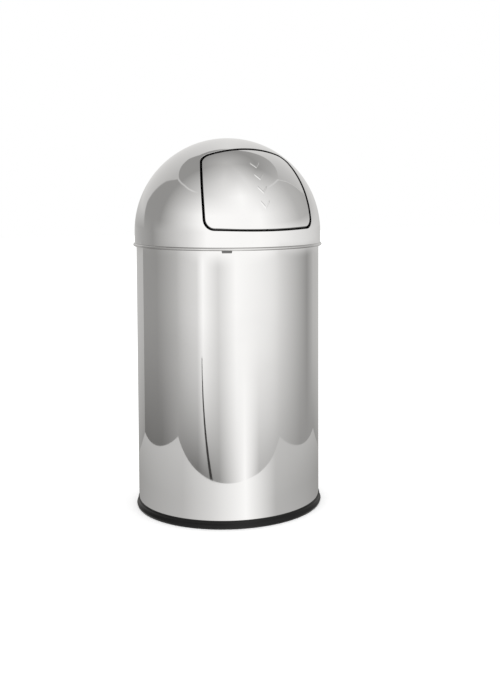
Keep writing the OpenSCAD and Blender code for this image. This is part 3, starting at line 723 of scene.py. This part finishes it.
class BIN_OT_edge_ring(Operator):
    """Builds the black ring round the foot"""

    bl_idname = "bin.edge_ring"
    bl_label = "Edge ring"

    def execute(self, context):
        s = context.scene.bin_shell
        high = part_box("base_ring")[1]
        foot, leg_top = high.x / MM, high.z / MM - 2.8
        groove, top = s.tube_radius + 0.1, s.tube_radius + 1.6
        leg, inner, floor = s.tube_radius - 4.1, s.tube_radius - 6.6, 2.5
        bulge, toe, shoulder, lip, heel = 1.9, 1.6, 0.7, 0.2, 1.0
        profile = joined(
            run((inner + heel, 0), (foot - 2.6, 0), 3),
            bend((foot - 2.6, toe), toe, 270, 325, 8),
            bend((foot - bulge, 4.4), bulge, -18, 34, 8),
            run((top + 0.1, 9.0), (top, s.ring_height - shoulder), 4),
            bend((top - shoulder, s.ring_height - shoulder), shoulder, 0, 90, 6),
            bend((groove + lip, s.ring_height - lip), lip, 90, 180, 4),
            run((groove, s.ring_height - lip), (groove, floor), 3),
            run((groove, floor), (leg, floor), 2),
            run((leg, floor), (leg, leg_top), 3),
            run((leg, leg_top), (inner, leg_top), 2),
            run((inner, leg_top), (inner, heel), 3),
            bend((inner + heel, heel), heel, 180, 270, 5),
        )
        ring = turned_piece("edge_ring", profile, exact=False)
        dress(ring, "body", "base_ring", "black rubber")
        return {"FINISHED"}


class BIN_OT_dome(Operator):
    """Builds the dome with its mouth, skirt and rolled bead"""

    bl_idname = "bin.dome"
    bl_label = "Dome"

    def execute(self, context):
        s, m = context.scene.bin_shell, context.scene.bin_mouth
        mouth = Mouth(s, m, (30, 14, 46, 16, 30))
        edge, inner_r = m.gap / 2, s.dome_radius - s.sheet

        def swept(out, radius, steps, facing):
            """Great circles from the mouth's edge down to the dome's widest circle: c cos t +
            w sin t, where c is the mouth's own axis and w the sideways direction of each."""
            flat, _ = mouth.whole(out)
            start = mouth.outward(mouth.place(flat, mouth.depth(flat, radius)))
            c = mouth.axes[2]
            w = unit(start - (start @ c)[:, None] * c)
            first = np.arccos(start @ c)
            last = np.arctan2(c[2], -w[:, 2])
            closer_at_mouth = 1.25
            t = np.linspace(0, 1, steps)[:, None] ** closer_at_mouth
            turn = first + t * (last - first)
            ray = np.cos(turn)[..., None] * c + np.sin(turn)[..., None] * w
            return np.stack([mouth.centre + radius * ray, facing * ray])

        outer = swept(edge + s.bend_radius, s.dome_radius, 44, 1)
        inner = swept(edge + s.sheet, inner_r, 24, -1)
        lowest = outer[1, -1]

        tuck, ease, crease = 1.0, 0.1, 0.3
        r, z, b = inner_r + s.bead_radius - s.sheet - tuck, s.bead_height, s.bead_radius
        cut = math.acos((s.dome_radius - r + crease) / (b + crease))
        meet_z = z + (b + crease) * math.sin(cut)
        wall = math.acos((s.dome_radius - r) / (b - s.sheet))
        wall_z = z + (b - s.sheet) * math.sin(wall)
        cut, wall = math.degrees(cut), math.degrees(wall)
        profile = joined(
            run((inner_r, s.dome_centre), (inner_r, z + ease), 5),
            run((inner_r + ease, z), (s.dome_radius - ease, z), 2),
            run((s.dome_radius, z + ease), (s.dome_radius, wall_z), 2),
            bend((r, z), b - s.sheet, wall, -180, 18),
            bend((r - b + s.sheet / 2, z), s.sheet / 2, 0, -180, 6) * [1, 1, -1, -1],
            bend((r, z), b, -180, cut, 30),
            bend((s.dome_radius + crease, meet_z), crease, 180 + cut, 180, 4),
            run((s.dome_radius, meet_z), (s.dome_radius, s.dome_centre), 6),
        )
        skirt = spun(profile, np.arctan2(lowest[:, 1], lowest[:, 0]))[:, 1:-1]
        lip = mouth.turned_in(edge, -1, s.bend_radius, s.sheet, s.dome_radius, m.lip, ease)
        points, normals = np.concatenate([inner, skirt, outer[:, ::-1], lip], axis=1)
        quads = grid_faces(*points.shape[:2], True, True)
        dome = piece("dome_cover", points, quads, normals)
        dress(dome, "dome", "dome_shell", "polished dome")
        return {"FINISHED"}


class BIN_OT_flap(Operator):
    """Builds the push flap with its turned-in edge and four pressed arrow marks"""

    bl_idname = "bin.flap"
    bl_label = "Flap"

    def execute(self, context):
        s, m = context.scene.bin_shell, context.scene.bin_mouth
        mouth = Mouth(s, m, (40, 12, 240, 14, 40))
        edge, face_r = -m.gap / 2, s.dome_radius - m.sink
        marks, flank = 4, 1.4

        def relief(flat):
            """Height of the marks: each is a V whose strokes keep one width, with smooth flanks."""
            arm = m.mark_height - m.mark_stroke
            slope = arm / (m.mark_width / 2)
            lean = 1 / math.hypot(1, slope)
            x, y = np.abs(flat[..., 0]), flat[..., 1]
            first = (mouth.low + mouth.top) / 2 - m.mark_drop - (marks - 1) / 2 * m.mark_step
            nearest = np.clip(np.round((y - first) / m.mark_step), 0, marks - 1)
            line = first + m.mark_step * nearest + x * slope - arm / 2
            across = m.mark_stroke / 2 * lean - np.abs(y - line) * lean
            along = m.mark_width / 2 - x
            a, b = (np.clip(v / flank + 0.5, 0, 1) for v in (across, along))
            return m.mark_out * (a * a * (3 - 2 * a)) * (b * b * (3 - 2 * b))

        def face_rows(out, radius, columns, facing):
            """Rows across the flap at the heights of the outline's own points: x = t X, with t
            closer together in the middle, where the marks stand out of the outer face."""
            half, _ = mouth.half(out)
            t = np.concatenate([-columns[::-1], [0], columns])
            flat = np.stack([half[:, :1] * t[None], np.repeat(half[:, 1:], len(t), 1)], -1)
            points = mouth.place(flat, mouth.depth(flat, radius))
            ray = mouth.outward(points)
            if facing < 0:
                return np.stack([points, -ray])
            step = 0.05
            across, up = (
                (relief(flat + d) - relief(flat - d)) / (2 * step)
                for d in (np.array([step, 0]), np.array([0, step]))
            )
            tilt = across[..., None] * mouth.axes[0] + up[..., None] * mouth.axes[1]
            return np.stack([points + relief(flat)[..., None] * ray, unit(ray - tilt)])

        marked, closer_at_marks = 0.10, 1.1
        fine = np.linspace(0, marked, 24)[1:]
        coarse = marked + (1 - marked) * np.linspace(0, 1, 34)[1:] ** closer_at_marks
        top = face_rows(edge - s.bend_radius, face_r, np.concatenate([fine, coarse]), 1)
        band = mouth.turned_in(edge, 1, s.bend_radius, s.sheet, face_r, m.flap_edge)[:, :-1]
        under = face_rows(edge - s.sheet, face_r - s.sheet, np.linspace(0, 1, 16)[1:], -1)
        points, normals = np.concatenate([part.reshape(2, -1, 3) for part in (top, band, under)], 1)
        first, last = numbered(top, 0), numbered(under, len(points) - under[0].size // 3)
        between = np.arange(band[0].size // 3).reshape(band.shape[1:3]) + first.size
        strips = cells(np.vstack([rim(first), between, rim(last)]), closed=True)
        strips = np.roll(strips[:, ::-1], 1, axis=1)
        quads = np.vstack([cells(first), strips, cells(last)[:, ::-1]])
        flap = piece("push_flap", *trimmed(points, quads, normals))
        dress(flap, "flap", "flap_panel", "polished flap")
        return {"FINISHED"}


class BIN_OT_springs(Operator):
    """Builds the two springs that close the flap"""

    bl_idname = "bin.springs"
    bl_label = "Closing springs"

    def execute(self, context):
        s, m, w = (getattr(context.scene, f"bin_{key}") for key in ("shell", "mouth", "springs"))
        joint = next(j for j in frame["joints"] if j["name"] == "flap_hinge")
        centre = np.array([0, 0, s.dome_centre])
        _, y, z = np.array(joint["pos_m"]) / MM - centre
        rod, lift = np.array([-y, z]), math.atan2(z, -y)
        r, leg_steps, curl_steps = w.wire / 2, 6, 44
        plate_r = s.dome_radius - m.sink - s.sheet - w.seat - w.plate

        def leg(x, radius, turn, side):
            """End of a leg that leans against a ball of that radius, forward and up in the plane
            square to the rod, and the angle round the rod at which the leg leaves the curls: it
            touches their circle, so it stands at acos(curl radius / distance) from the line to
            its end."""
            end = (math.sqrt(radius**2 - x**2) - r - w.play) * rays(turn)
            along = end - rod
            turn = math.atan2(along[1], along[0])
            return end, turn + side * math.acos(w.curl_radius / np.linalg.norm(along))

        for side, sign in (("left", -1), ("right", 1)):
            solid = f"closing_spring_{side}"
            near, far = sorted(abs(v.x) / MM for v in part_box(solid))
            near, far = near + r, far - r
            push, push_turn = leg(near, plate_r, lift - w.push_lag, 1)
            hold, hold_turn = leg(far, s.dome_radius - s.sheet, lift + w.hold_lead, -1)
            hold_turn += 2 * np.pi * w.curls
            turn = np.linspace(push_turn, hold_turn, curl_steps * w.curls)
            curl = rod + w.curl_radius * rays(turn)
            t = np.linspace(0, 1, leg_steps + 1)[:, None]
            push_leg = push + t[:-1] * (curl[0] - push)
            hold_leg = curl[-1] + t[1:] * (hold - curl[-1])
            flat = np.vstack([push_leg, curl, hold_leg])
            over = np.linspace(near, far, len(curl))
            x = sign * np.concatenate([[near] * leg_steps, over, [far] * leg_steps])
            line = np.stack([x, -flat[:, 0], flat[:, 1]], -1) + centre
            spring = piece(f"flap_spring_{side}", *wire(line, r))
            spring.data.materials.append(finish("spring wire"))
            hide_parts(solid)
            start, end = (sign * v * MM for v in (near + r, far - r))
            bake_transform(spring)
        return {"FINISHED"}


class BIN_OT_fittings(Operator):
    """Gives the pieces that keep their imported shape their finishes"""

    bl_idname = "bin.fittings"
    bl_label = "Fittings"

    def execute(self, context):
        finishes = {
            "mill steel": (
                "base_plate", "hinge_bracket_left", "hinge_bracket_right", "hinge_rod",
                "flap_arm_left", "flap_arm_right", "stop_plate",
            ),
            "black rubber": ("stop_buffers",),
            "grey rubber": ("rest_studs",),
            "galvanised sheet": ("bucket_shell", "bucket_base", "bail_ear_left", "bail_ear_right"),
            "zinc wire": ("ear_rivets", "bail"),
            "spring wire": ("rod_clips",),
        }
        for name, solids in finishes.items():
            for solid in solids:
                mesh = frame["nodes"][solid].data
                mesh.materials.clear()
                mesh.materials.append(finish(name))
        return {"FINISHED"}


# ---- Studio ----


VIEW_TURN = math.radians(-23.5)  # of the cards, towards the camera
STEEL_REACH = 0.0835  # half the tube's radius
STEEL_TAKES = 1.22

# The sheets: heights at which their foot's tone ends and at which the level light comes in.
FOOT_TONE_TOP, FOOT_TONE_FALL = 0.34, 1.7
LEVEL_BAND = (0.425, 0.465)

# The hood: its size, then shares of its rise from the foot to overhead, 0 to 1.
HOOD_FOOT, HOOD_RADIUS, HOOD_HEM = 0.505, 3.0, math.degrees(-0.17)
HOOD_BANDS = (0.22, 0.48, 0.72, 0.97)
LEVEL_RISE = 0.1
OPENING_TOP, OPENING_EDGE = (0.66, 0.69), (-0.004, 0.006)
SEAM_CORE, SEAM_EDGE, SEAM_LIGHT = 0.003, 0.012, 0.32

# The five plain greys that every card of the tent is set with, from 0 to 255.
WHITE, PALE, GREY, SHADE, DEEP = 250, 215, 180, 145, 110

# Stops of (degrees round the bin, grey), 0 degrees on the camera's side: a white tent that is lit
# from the front and falls off to both sides.
LEVEL_TONES = ((-180, GREY), (-105, SHADE), (-50, PALE), (-25, WHITE), (40, WHITE), (180, GREY))
FLOOR_TONES = ((-180, SHADE), (-60, GREY), (-20, PALE), (20, WHITE), (60, GREY), (180, SHADE))
HOOD_WALLS = ((-180, SHADE), (-90, SHADE), (-30, WHITE), (40, WHITE), (100, GREY), (180, SHADE))
HOOD_SHOULDER = ((-180, SHADE), (-90, SHADE), (-30, PALE), (20, WHITE), (100, GREY), (180, SHADE))
HOOD_ROOF = ((-180, SHADE), (-90, SHADE), (-10, PALE), (40, PALE), (100, SHADE), (180, SHADE))
BEHIND_TONES = ((-180, PALE), (-110, GREY), (110, GREY), (180, PALE))

# Stops of (share of the turn, share of the rise) along the hood's seam, and of how much it shows.
SEAM_RISE = (
    (0.0, 0.51), (0.228, 0.511), (0.283, 0.513), (0.317, 0.501), (0.35, 0.492), (0.69, 0.512),
    (0.732, 0.511), (0.769, 0.502), (0.783, 0.495), (0.814, 0.411), (0.833, 0.333), (0.855, 0.233),
    (1.0, 0.1),
)
SEAM_SHOWN = (
    (0.0, 0.0), (0.205, 0.0), (0.225, 1.0), (0.34, 1.0), (0.37, 0.0), (0.68, 0.0), (0.72, 0.7),
    (0.853, 1.0), (0.862, 0.0), (1.0, 0.0),
)

# Stops of (share of the rise, share of the turn) along both edges of the opening behind the bin.
OPEN_LEFT = (
    (0.0, 0.168), (0.119, 0.151), (0.165, 0.146), (0.244, 0.154), (0.33, 0.167), (0.392, 0.179),
    (0.436, 0.195), (0.478, 0.213), (0.511, 0.225), (0.519, 0.226), (0.527, 0.19), (0.538, 0.145),
    (0.56, 0.117), (0.633, 0.1), (0.665, 0.045), (0.685, 0.0), (1.0, 0.0),
)
OPEN_RIGHT = (
    (0.0, 0.836), (0.119, 0.852), (0.2, 0.862), (0.244, 0.853), (0.33, 0.834), (0.392, 0.822),
    (0.436, 0.806), (0.487, 0.786), (0.504, 0.799), (0.511, 0.847), (0.522, 0.881), (0.545, 0.9),
    (0.6, 0.924), (0.65, 0.951), (0.685, 1.0), (1.0, 1.0),
)

# Stops of (share of the sheet's length, grey) at a sheet's foot and above it.
LEFT_FOOT = ((0.0, DEEP), (0.6, DEEP), (1.0, SHADE))
LEFT_ABOVE = ((0.0, SHADE), (0.5, SHADE), (1.0, GREY))
FRONT_FOOT = ((0.0, SHADE), (0.3, DEEP), (0.45, SHADE), (0.6, WHITE), (0.7, GREY), (1.0, GREY))
FRONT_ABOVE = ((0.0, GREY), (0.3, PALE), (0.35, WHITE), (0.45, PALE), (0.55, WHITE), (1.0, PALE))
RIGHT_FOOT = ((0.0, GREY), (0.5, SHADE), (1.0, SHADE))
RIGHT_ABOVE = ((0.0, PALE), (0.7, SHADE), (1.0, GREY))
BACK_FOOT = ((0.0, SHADE), (1.0, SHADE))
BACK_ABOVE = ((0.0, GREY), (1.0, GREY))

BACK_LEFT, FRONT_LEFT = (-0.596, 0.332), (-0.657, -0.39)
FRONT_RIGHT, BACK_RIGHT = (0.636, -0.39), (0.582, 0.36)
FRONT_BENDS = [(-0.25, -0.425), (0.001, -0.43), (0.147, -0.43), (0.445, -0.394)]
SHEETS = (
    ("left_sheet", [BACK_LEFT, FRONT_LEFT], LEFT_FOOT, LEFT_ABOVE),
    ("front_sheet", [FRONT_LEFT, *FRONT_BENDS, FRONT_RIGHT], FRONT_FOOT, FRONT_ABOVE),
    ("right_sheet", [FRONT_RIGHT, BACK_RIGHT], RIGHT_FOOT, RIGHT_ABOVE),
    ("back_light", [BACK_RIGHT, BACK_LEFT], BACK_FOOT, BACK_ABOVE),
)


def tone(level):
    """Linear colour of a grey from 0 to 255, a trace warm as tent cloth is."""
    srgb = np.array([level, level - 1, level - 3]) / 255
    linear = np.where(srgb <= 0.04045, srgb / 12.92, ((srgb + 0.055) / 1.055) ** 2.4)
    return (*linear, 1)


def ramp(value, stops):
    """A ramp of greys over value from stops of (place, grey)."""
    made = node(value.tree, "ValToRGB", {0: value})
    band = made.color_ramp
    while len(band.elements) > 1:
        band.elements.remove(band.elements[0])
    for k, (place, grey) in enumerate(stops):
        element = band.elements[0] if k == 0 else band.elements.new(place)
        element.position = place
        element.color = tone(grey)
    return Signal(made.outputs[0])


def round_ramp(share, stops):
    """A ramp whose stops stand at degrees round the bin, from the side that faces the camera."""
    return ramp(share, [(degrees / 360 + 0.5, grey) for degrees, grey in stops])


def curve(value, stops):
    """A number that follows stops of (place, number from 0 to 1)."""
    made = node(value.tree, "FloatCurve", {"Value": value})
    line = made.mapping.curves[0]
    for place, number in stops[1:-1]:
        line.points.new(place, number)
    line.points[0].location = stops[0]
    line.points[-1].location = stops[-1]
    for point in line.points:
        point.handle_type = "VECTOR"
    made.mapping.update()
    return Signal(made.outputs[0])


def lamp_material(name):
    """A material that only gives light, and its object's coordinates."""
    material = bpy.data.materials.new(name)
    material.use_nodes = True
    material.node_tree.nodes.clear()
    return material, add(material.node_tree, "TexCoord", None, "Object")


def shine(colour):
    """Ends a lamp material with its colour, made brighter for what the steel takes."""
    lamp = add(colour.tree, "Emission", {"Color": colour, "Strength": STEEL_TAKES})
    node(colour.tree, "OutputMaterial", {0: lamp})


def mirrored_share(x, y, reach):
    """Share of the turn round the bin at which upright steel mirrors a point. Steel of radius R,
    seen from afar, mirrors at azimuth w / 2 what stands at azimuth w (1 - R / 2D) and distance D.
    Reach is R / 2; the share runs from 0 to 1 as w goes from half a turn left to half right."""
    turn = x.maths("ARCTAN2", y * -1.0)
    if reach:
        distance = (x * x + y * y).maths("SQRT")
        turn = turn * distance / (distance - reach)
    return ranged(turn, -math.pi, math.pi)


def level_light(spot):
    """The tent's tone level with the dome's skirt, from a node group that its sheets and hood
    share."""
    new, tree, start, end = group("level light", {"Position": "Vector"}, {"Color": "Color"})
    if new:
        x, y, _ = apart(start["Position"])
        feed(end[0], round_ramp(mirrored_share(x, y, STEEL_REACH), LEVEL_TONES))
    return add(spot.tree, "Group", {0: spot}, node_tree=tree)


def square(reach, z):
    """Corners of a level square."""
    return [(x * reach, y * reach, z) for x, y in ((-1, -1), (1, -1), (1, 1), (-1, 1))]


def card(name, points, faces, material, uv=None):
    """A card that only shows as a reflection, built as seen from the camera's side."""
    mesh = bpy.data.meshes.new(name)
    mesh.from_pydata(points, [], faces)
    if uv is not None:
        layer = mesh.uv_layers.new(name="share and height")
        layer.data.foreach_set("uv", uv[np.ravel(faces)].ravel())
    mesh.materials.append(material)
    obj = stood(name, mesh)
    obj.rotation_euler.z = VIEW_TURN
    obj.visible_camera = obj.visible_diffuse = obj.visible_shadow = False
    obj.visible_transmission = obj.visible_volume_scatter = False


def slit(u, z, colour):
    """A dark wedge in a sheet: its middle curves from one share of the sheet's length at the floor
    to another at its tip, where it is a third as wide."""
    foot, end, tall, half = 0.402, 0.340, 0.245, 0.011
    bow, soft_edge, soft_tip = 2.2, 0.3, 0.006
    up = ranged(z, 0.0, tall)
    middle = ranged((1.0 - up) ** bow, 0.0, 1.0, end, foot)
    width = ranged(up, 0.0, 1.0, half, half / 3)
    inside = (width - abs(u - middle)).maths("DIVIDE", half * soft_edge, clamp=True)
    inside = inside * ranged(z, tall - soft_tip, tall, 1.0, 0.0)
    return blend(inside, colour, tone(DEEP / 2))


def wall_card(name, plan, foot, above):
    """An upright sheet of the tent along a line of plan points. Its tone runs along its length,
    from the ramp of its foot to the ramp of its upper part and to the level light at its top."""
    material, spot = lamp_material(name.replace("_", " "))
    z = apart(spot)[2]
    u = apart(add(spot.tree, "UVMap"))[0]
    fall = ranged(z, 0.0, FOOT_TONE_TOP, 1.0, 0.0) ** FOOT_TONE_FALL
    colour = blend(fall, ramp(u, above), ramp(u, foot))
    if name == "front_sheet":
        colour = slit(u, z, colour)
    shine(blend(ranged(z, *LEVEL_BAND, smooth=True), colour, level_light(spot)))
    plan = np.array(plan, float)
    steps = np.linalg.norm(np.diff(plan, axis=0), axis=1)
    share = np.concatenate([[0], np.cumsum(steps)]) / steps.sum()
    n = len(plan)
    points = [(x, y, z) for z in (0.0, HOOD_FOOT) for x, y in plan.tolist()]
    uv = np.stack([np.tile(share, 2), np.zeros(2 * n)], -1)
    faces = [(k, k + 1, n + k + 1, n + k) for k in range(n - 1)]
    card(name, points, faces, material, uv)


class BIN_OT_studio(Operator):
    """Builds the pale floor, the white surroundings, the reflected tent and the camera"""

    bl_idname = "bin.studio"
    bl_label = "Studio"

    def execute(self, context):
        scene = context.scene
        scene.view_settings.view_transform = "Standard"
        self.camera(scene)
        self.surroundings(scene)
        for sheet in SHEETS:
            wall_card(*sheet)
        self.hood()
        self.floor_card()
        return {"FINISHED"}

    def camera(self, scene):
        """The view: a long lens a little above the dome, shifted to where the bin stands."""
        data = bpy.data.cameras.new("view")
        data.sensor_width, data.lens = 36.0, 52.35
        data.shift_x, data.shift_y = -0.0886, -0.14
        data.clip_start, data.clip_end = 0.05, 60.0
        camera = bpy.data.objects.new("view", data)
        camera.location = (-0.7512, -1.7277, 0.597)
        camera.rotation_euler = (math.radians(86.0), 0.0, math.radians(-28.22))
        scene.collection.objects.link(camera)
        scene.camera = camera

    def surroundings(self, scene):
        """A white room. The floor is lit as it is, with its shadow, and the camera sees a little
        more light on it, so that it ends as white as the room."""
        white, glow = (1, 1, 1, 1), 0.3
        world = bpy.data.worlds.new("white room")
        world.use_nodes = True
        world.node_tree.nodes["Background"].inputs[0].default_value = white
        scene.world = world
        material, shader, spot = new_material("white sweep", {
            "Base Color": (0.93, 0.93, 0.93, 1),
            "Roughness": 0.9,
            "Specular IOR Level": 0.0,
            "Emission Color": white,
        })
        path = node(spot.tree, "LightPath").outputs
        camera, glossy, through = (
            Signal(path[f"Is {kind} Ray"]) for kind in ("Camera", "Glossy", "Transmission")
        )
        seen = (camera + glossy).maths("ADD", through, clamp=True)
        feed(shader["Emission Strength"], seen * glow)
        mesh = bpy.data.meshes.new("floor")
        mesh.from_pydata(square(9, 0), [], [(0, 1, 2, 3)])
        mesh.materials.append(material)
        floor = stood("floor", mesh)
        floor.visible_glossy = False

    def hood(self):
        """The tent above the bin's shoulder, as a half ball. Its tone follows the direction round
        the bin, from the walls' ramp over the roof's to one grey overhead. A seam lets a little
        light through, and behind the bin the tent stands open."""
        material, spot = lamp_material("hood")
        x, y, z = apart(spot)
        height = (z - HOOD_FOOT).maths("DIVIDE", HOOD_RADIUS, clamp=True)
        rise = height.maths("ARCSINE") / (math.pi / 2)
        share = mirrored_share(x, y, 0.0)
        colour = round_ramp(share, HOOD_WALLS)
        uppers = (round_ramp(share, HOOD_SHOULDER), round_ramp(share, HOOD_ROOF), tone(GREY))
        for start, end, upper in zip(HOOD_BANDS, HOOD_BANDS[1:], uppers):
            colour = blend(ranged(rise, start, end), colour, upper)
        off_seam = abs(rise - curve(share, SEAM_RISE))
        line = ranged(off_seam, SEAM_CORE, SEAM_EDGE, SEAM_LIGHT, 0.0, smooth=True)
        line = line.maths("MULTIPLY", curve(share, SEAM_SHOWN), clamp=True)
        colour = blend(line, colour, tone(WHITE))
        left, right = (
            ranged(inside, *OPENING_EDGE, smooth=True)
            for inside in (curve(rise, OPEN_LEFT) - share, share - curve(rise, OPEN_RIGHT))
        )
        opening = left.maths("ADD", right, clamp=True) * ranged(rise, *OPENING_TOP, 1.0, 0.0)
        colour = blend(opening, colour, round_ramp(share, BEHIND_TONES))
        shine(blend(ranged(rise, 0.0, LEVEL_RISE), level_light(spot), colour))
        profile = bend((0, HOOD_FOOT), HOOD_RADIUS, HOOD_HEM, 90, 24)
        points, _ = spun(profile, full_turn(96))
        faces = grid_faces(*points.shape[:2], False, True)
        card("hood", points.reshape(-1, 3).tolist(), faces.tolist(), material)

    def floor_card(self):
        """The tent's floor as the steel mirrors it: a ramp over the direction round the bin, a
        little lighter towards the sheets, so that it is darker near the bin as a painted shadow of
        the bin."""
        near, far, share = 0.3, 0.65, 0.13
        material, spot = lamp_material("floor card")
        x, y, _ = apart(spot)
        colour = round_ramp(mirrored_share(x, y, STEEL_REACH), FLOOR_TONES)
        # painted shadow: the card stays darker within reach of the bin and lightens further out,
        # standing in for the bin's shadow on the floor.
        shine(blend(ranged(length(spot), near, far, 0.0, share), colour, tone(WHITE)))
        card("floor_card", square(3, 0.0008), [(0, 1, 2, 3)], material)


STEPS = (
    BIN_OT_studio,
    BIN_OT_body_tube,
    BIN_OT_edge_ring,
    BIN_OT_dome,
    BIN_OT_flap,
    BIN_OT_springs,
    BIN_OT_fittings,
)


class BIN_PT_receptacle(Panel):
    """Lists the sizes, the finishes and the steps"""

    bl_idname = "BIN_PT_receptacle"
    bl_label = "Receptacle"
    bl_space_type = "VIEW_3D"
    bl_region_type = "UI"
    bl_category = "Receptacle"

    def draw(self, context):
        for key in VALUES:
            values = getattr(context.scene, key)
            box = self.layout.box()
            for name in values.__annotations__:
                box.prop(values, name)
        for step in STEPS:
            self.layout.operator(step.bl_idname)


VALUES = {
    "bin_shell": ShellSizes,
    "bin_mouth": MouthSizes,
    "bin_springs": SpringSizes,
    "bin_finishes": Finishes,
}
CLASSES = (*VALUES.values(), *STEPS, BIN_PT_receptacle)


def register():
    for made in CLASSES:
        bpy.utils.register_class(made)
    for key, kind in VALUES.items():
        setattr(bpy.types.Scene, key, PointerProperty(type=kind))


def unregister():
    for key in VALUES:
        delattr(bpy.types.Scene, key)
    for made in reversed(CLASSES):
        bpy.utils.unregister_class(made)


def main():
    """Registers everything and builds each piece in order."""
    register()
    for step in STEPS:
        area, name = step.bl_idname.split(".")
        getattr(getattr(bpy.ops, area), name)()


if __name__ == "__main__":
    main()
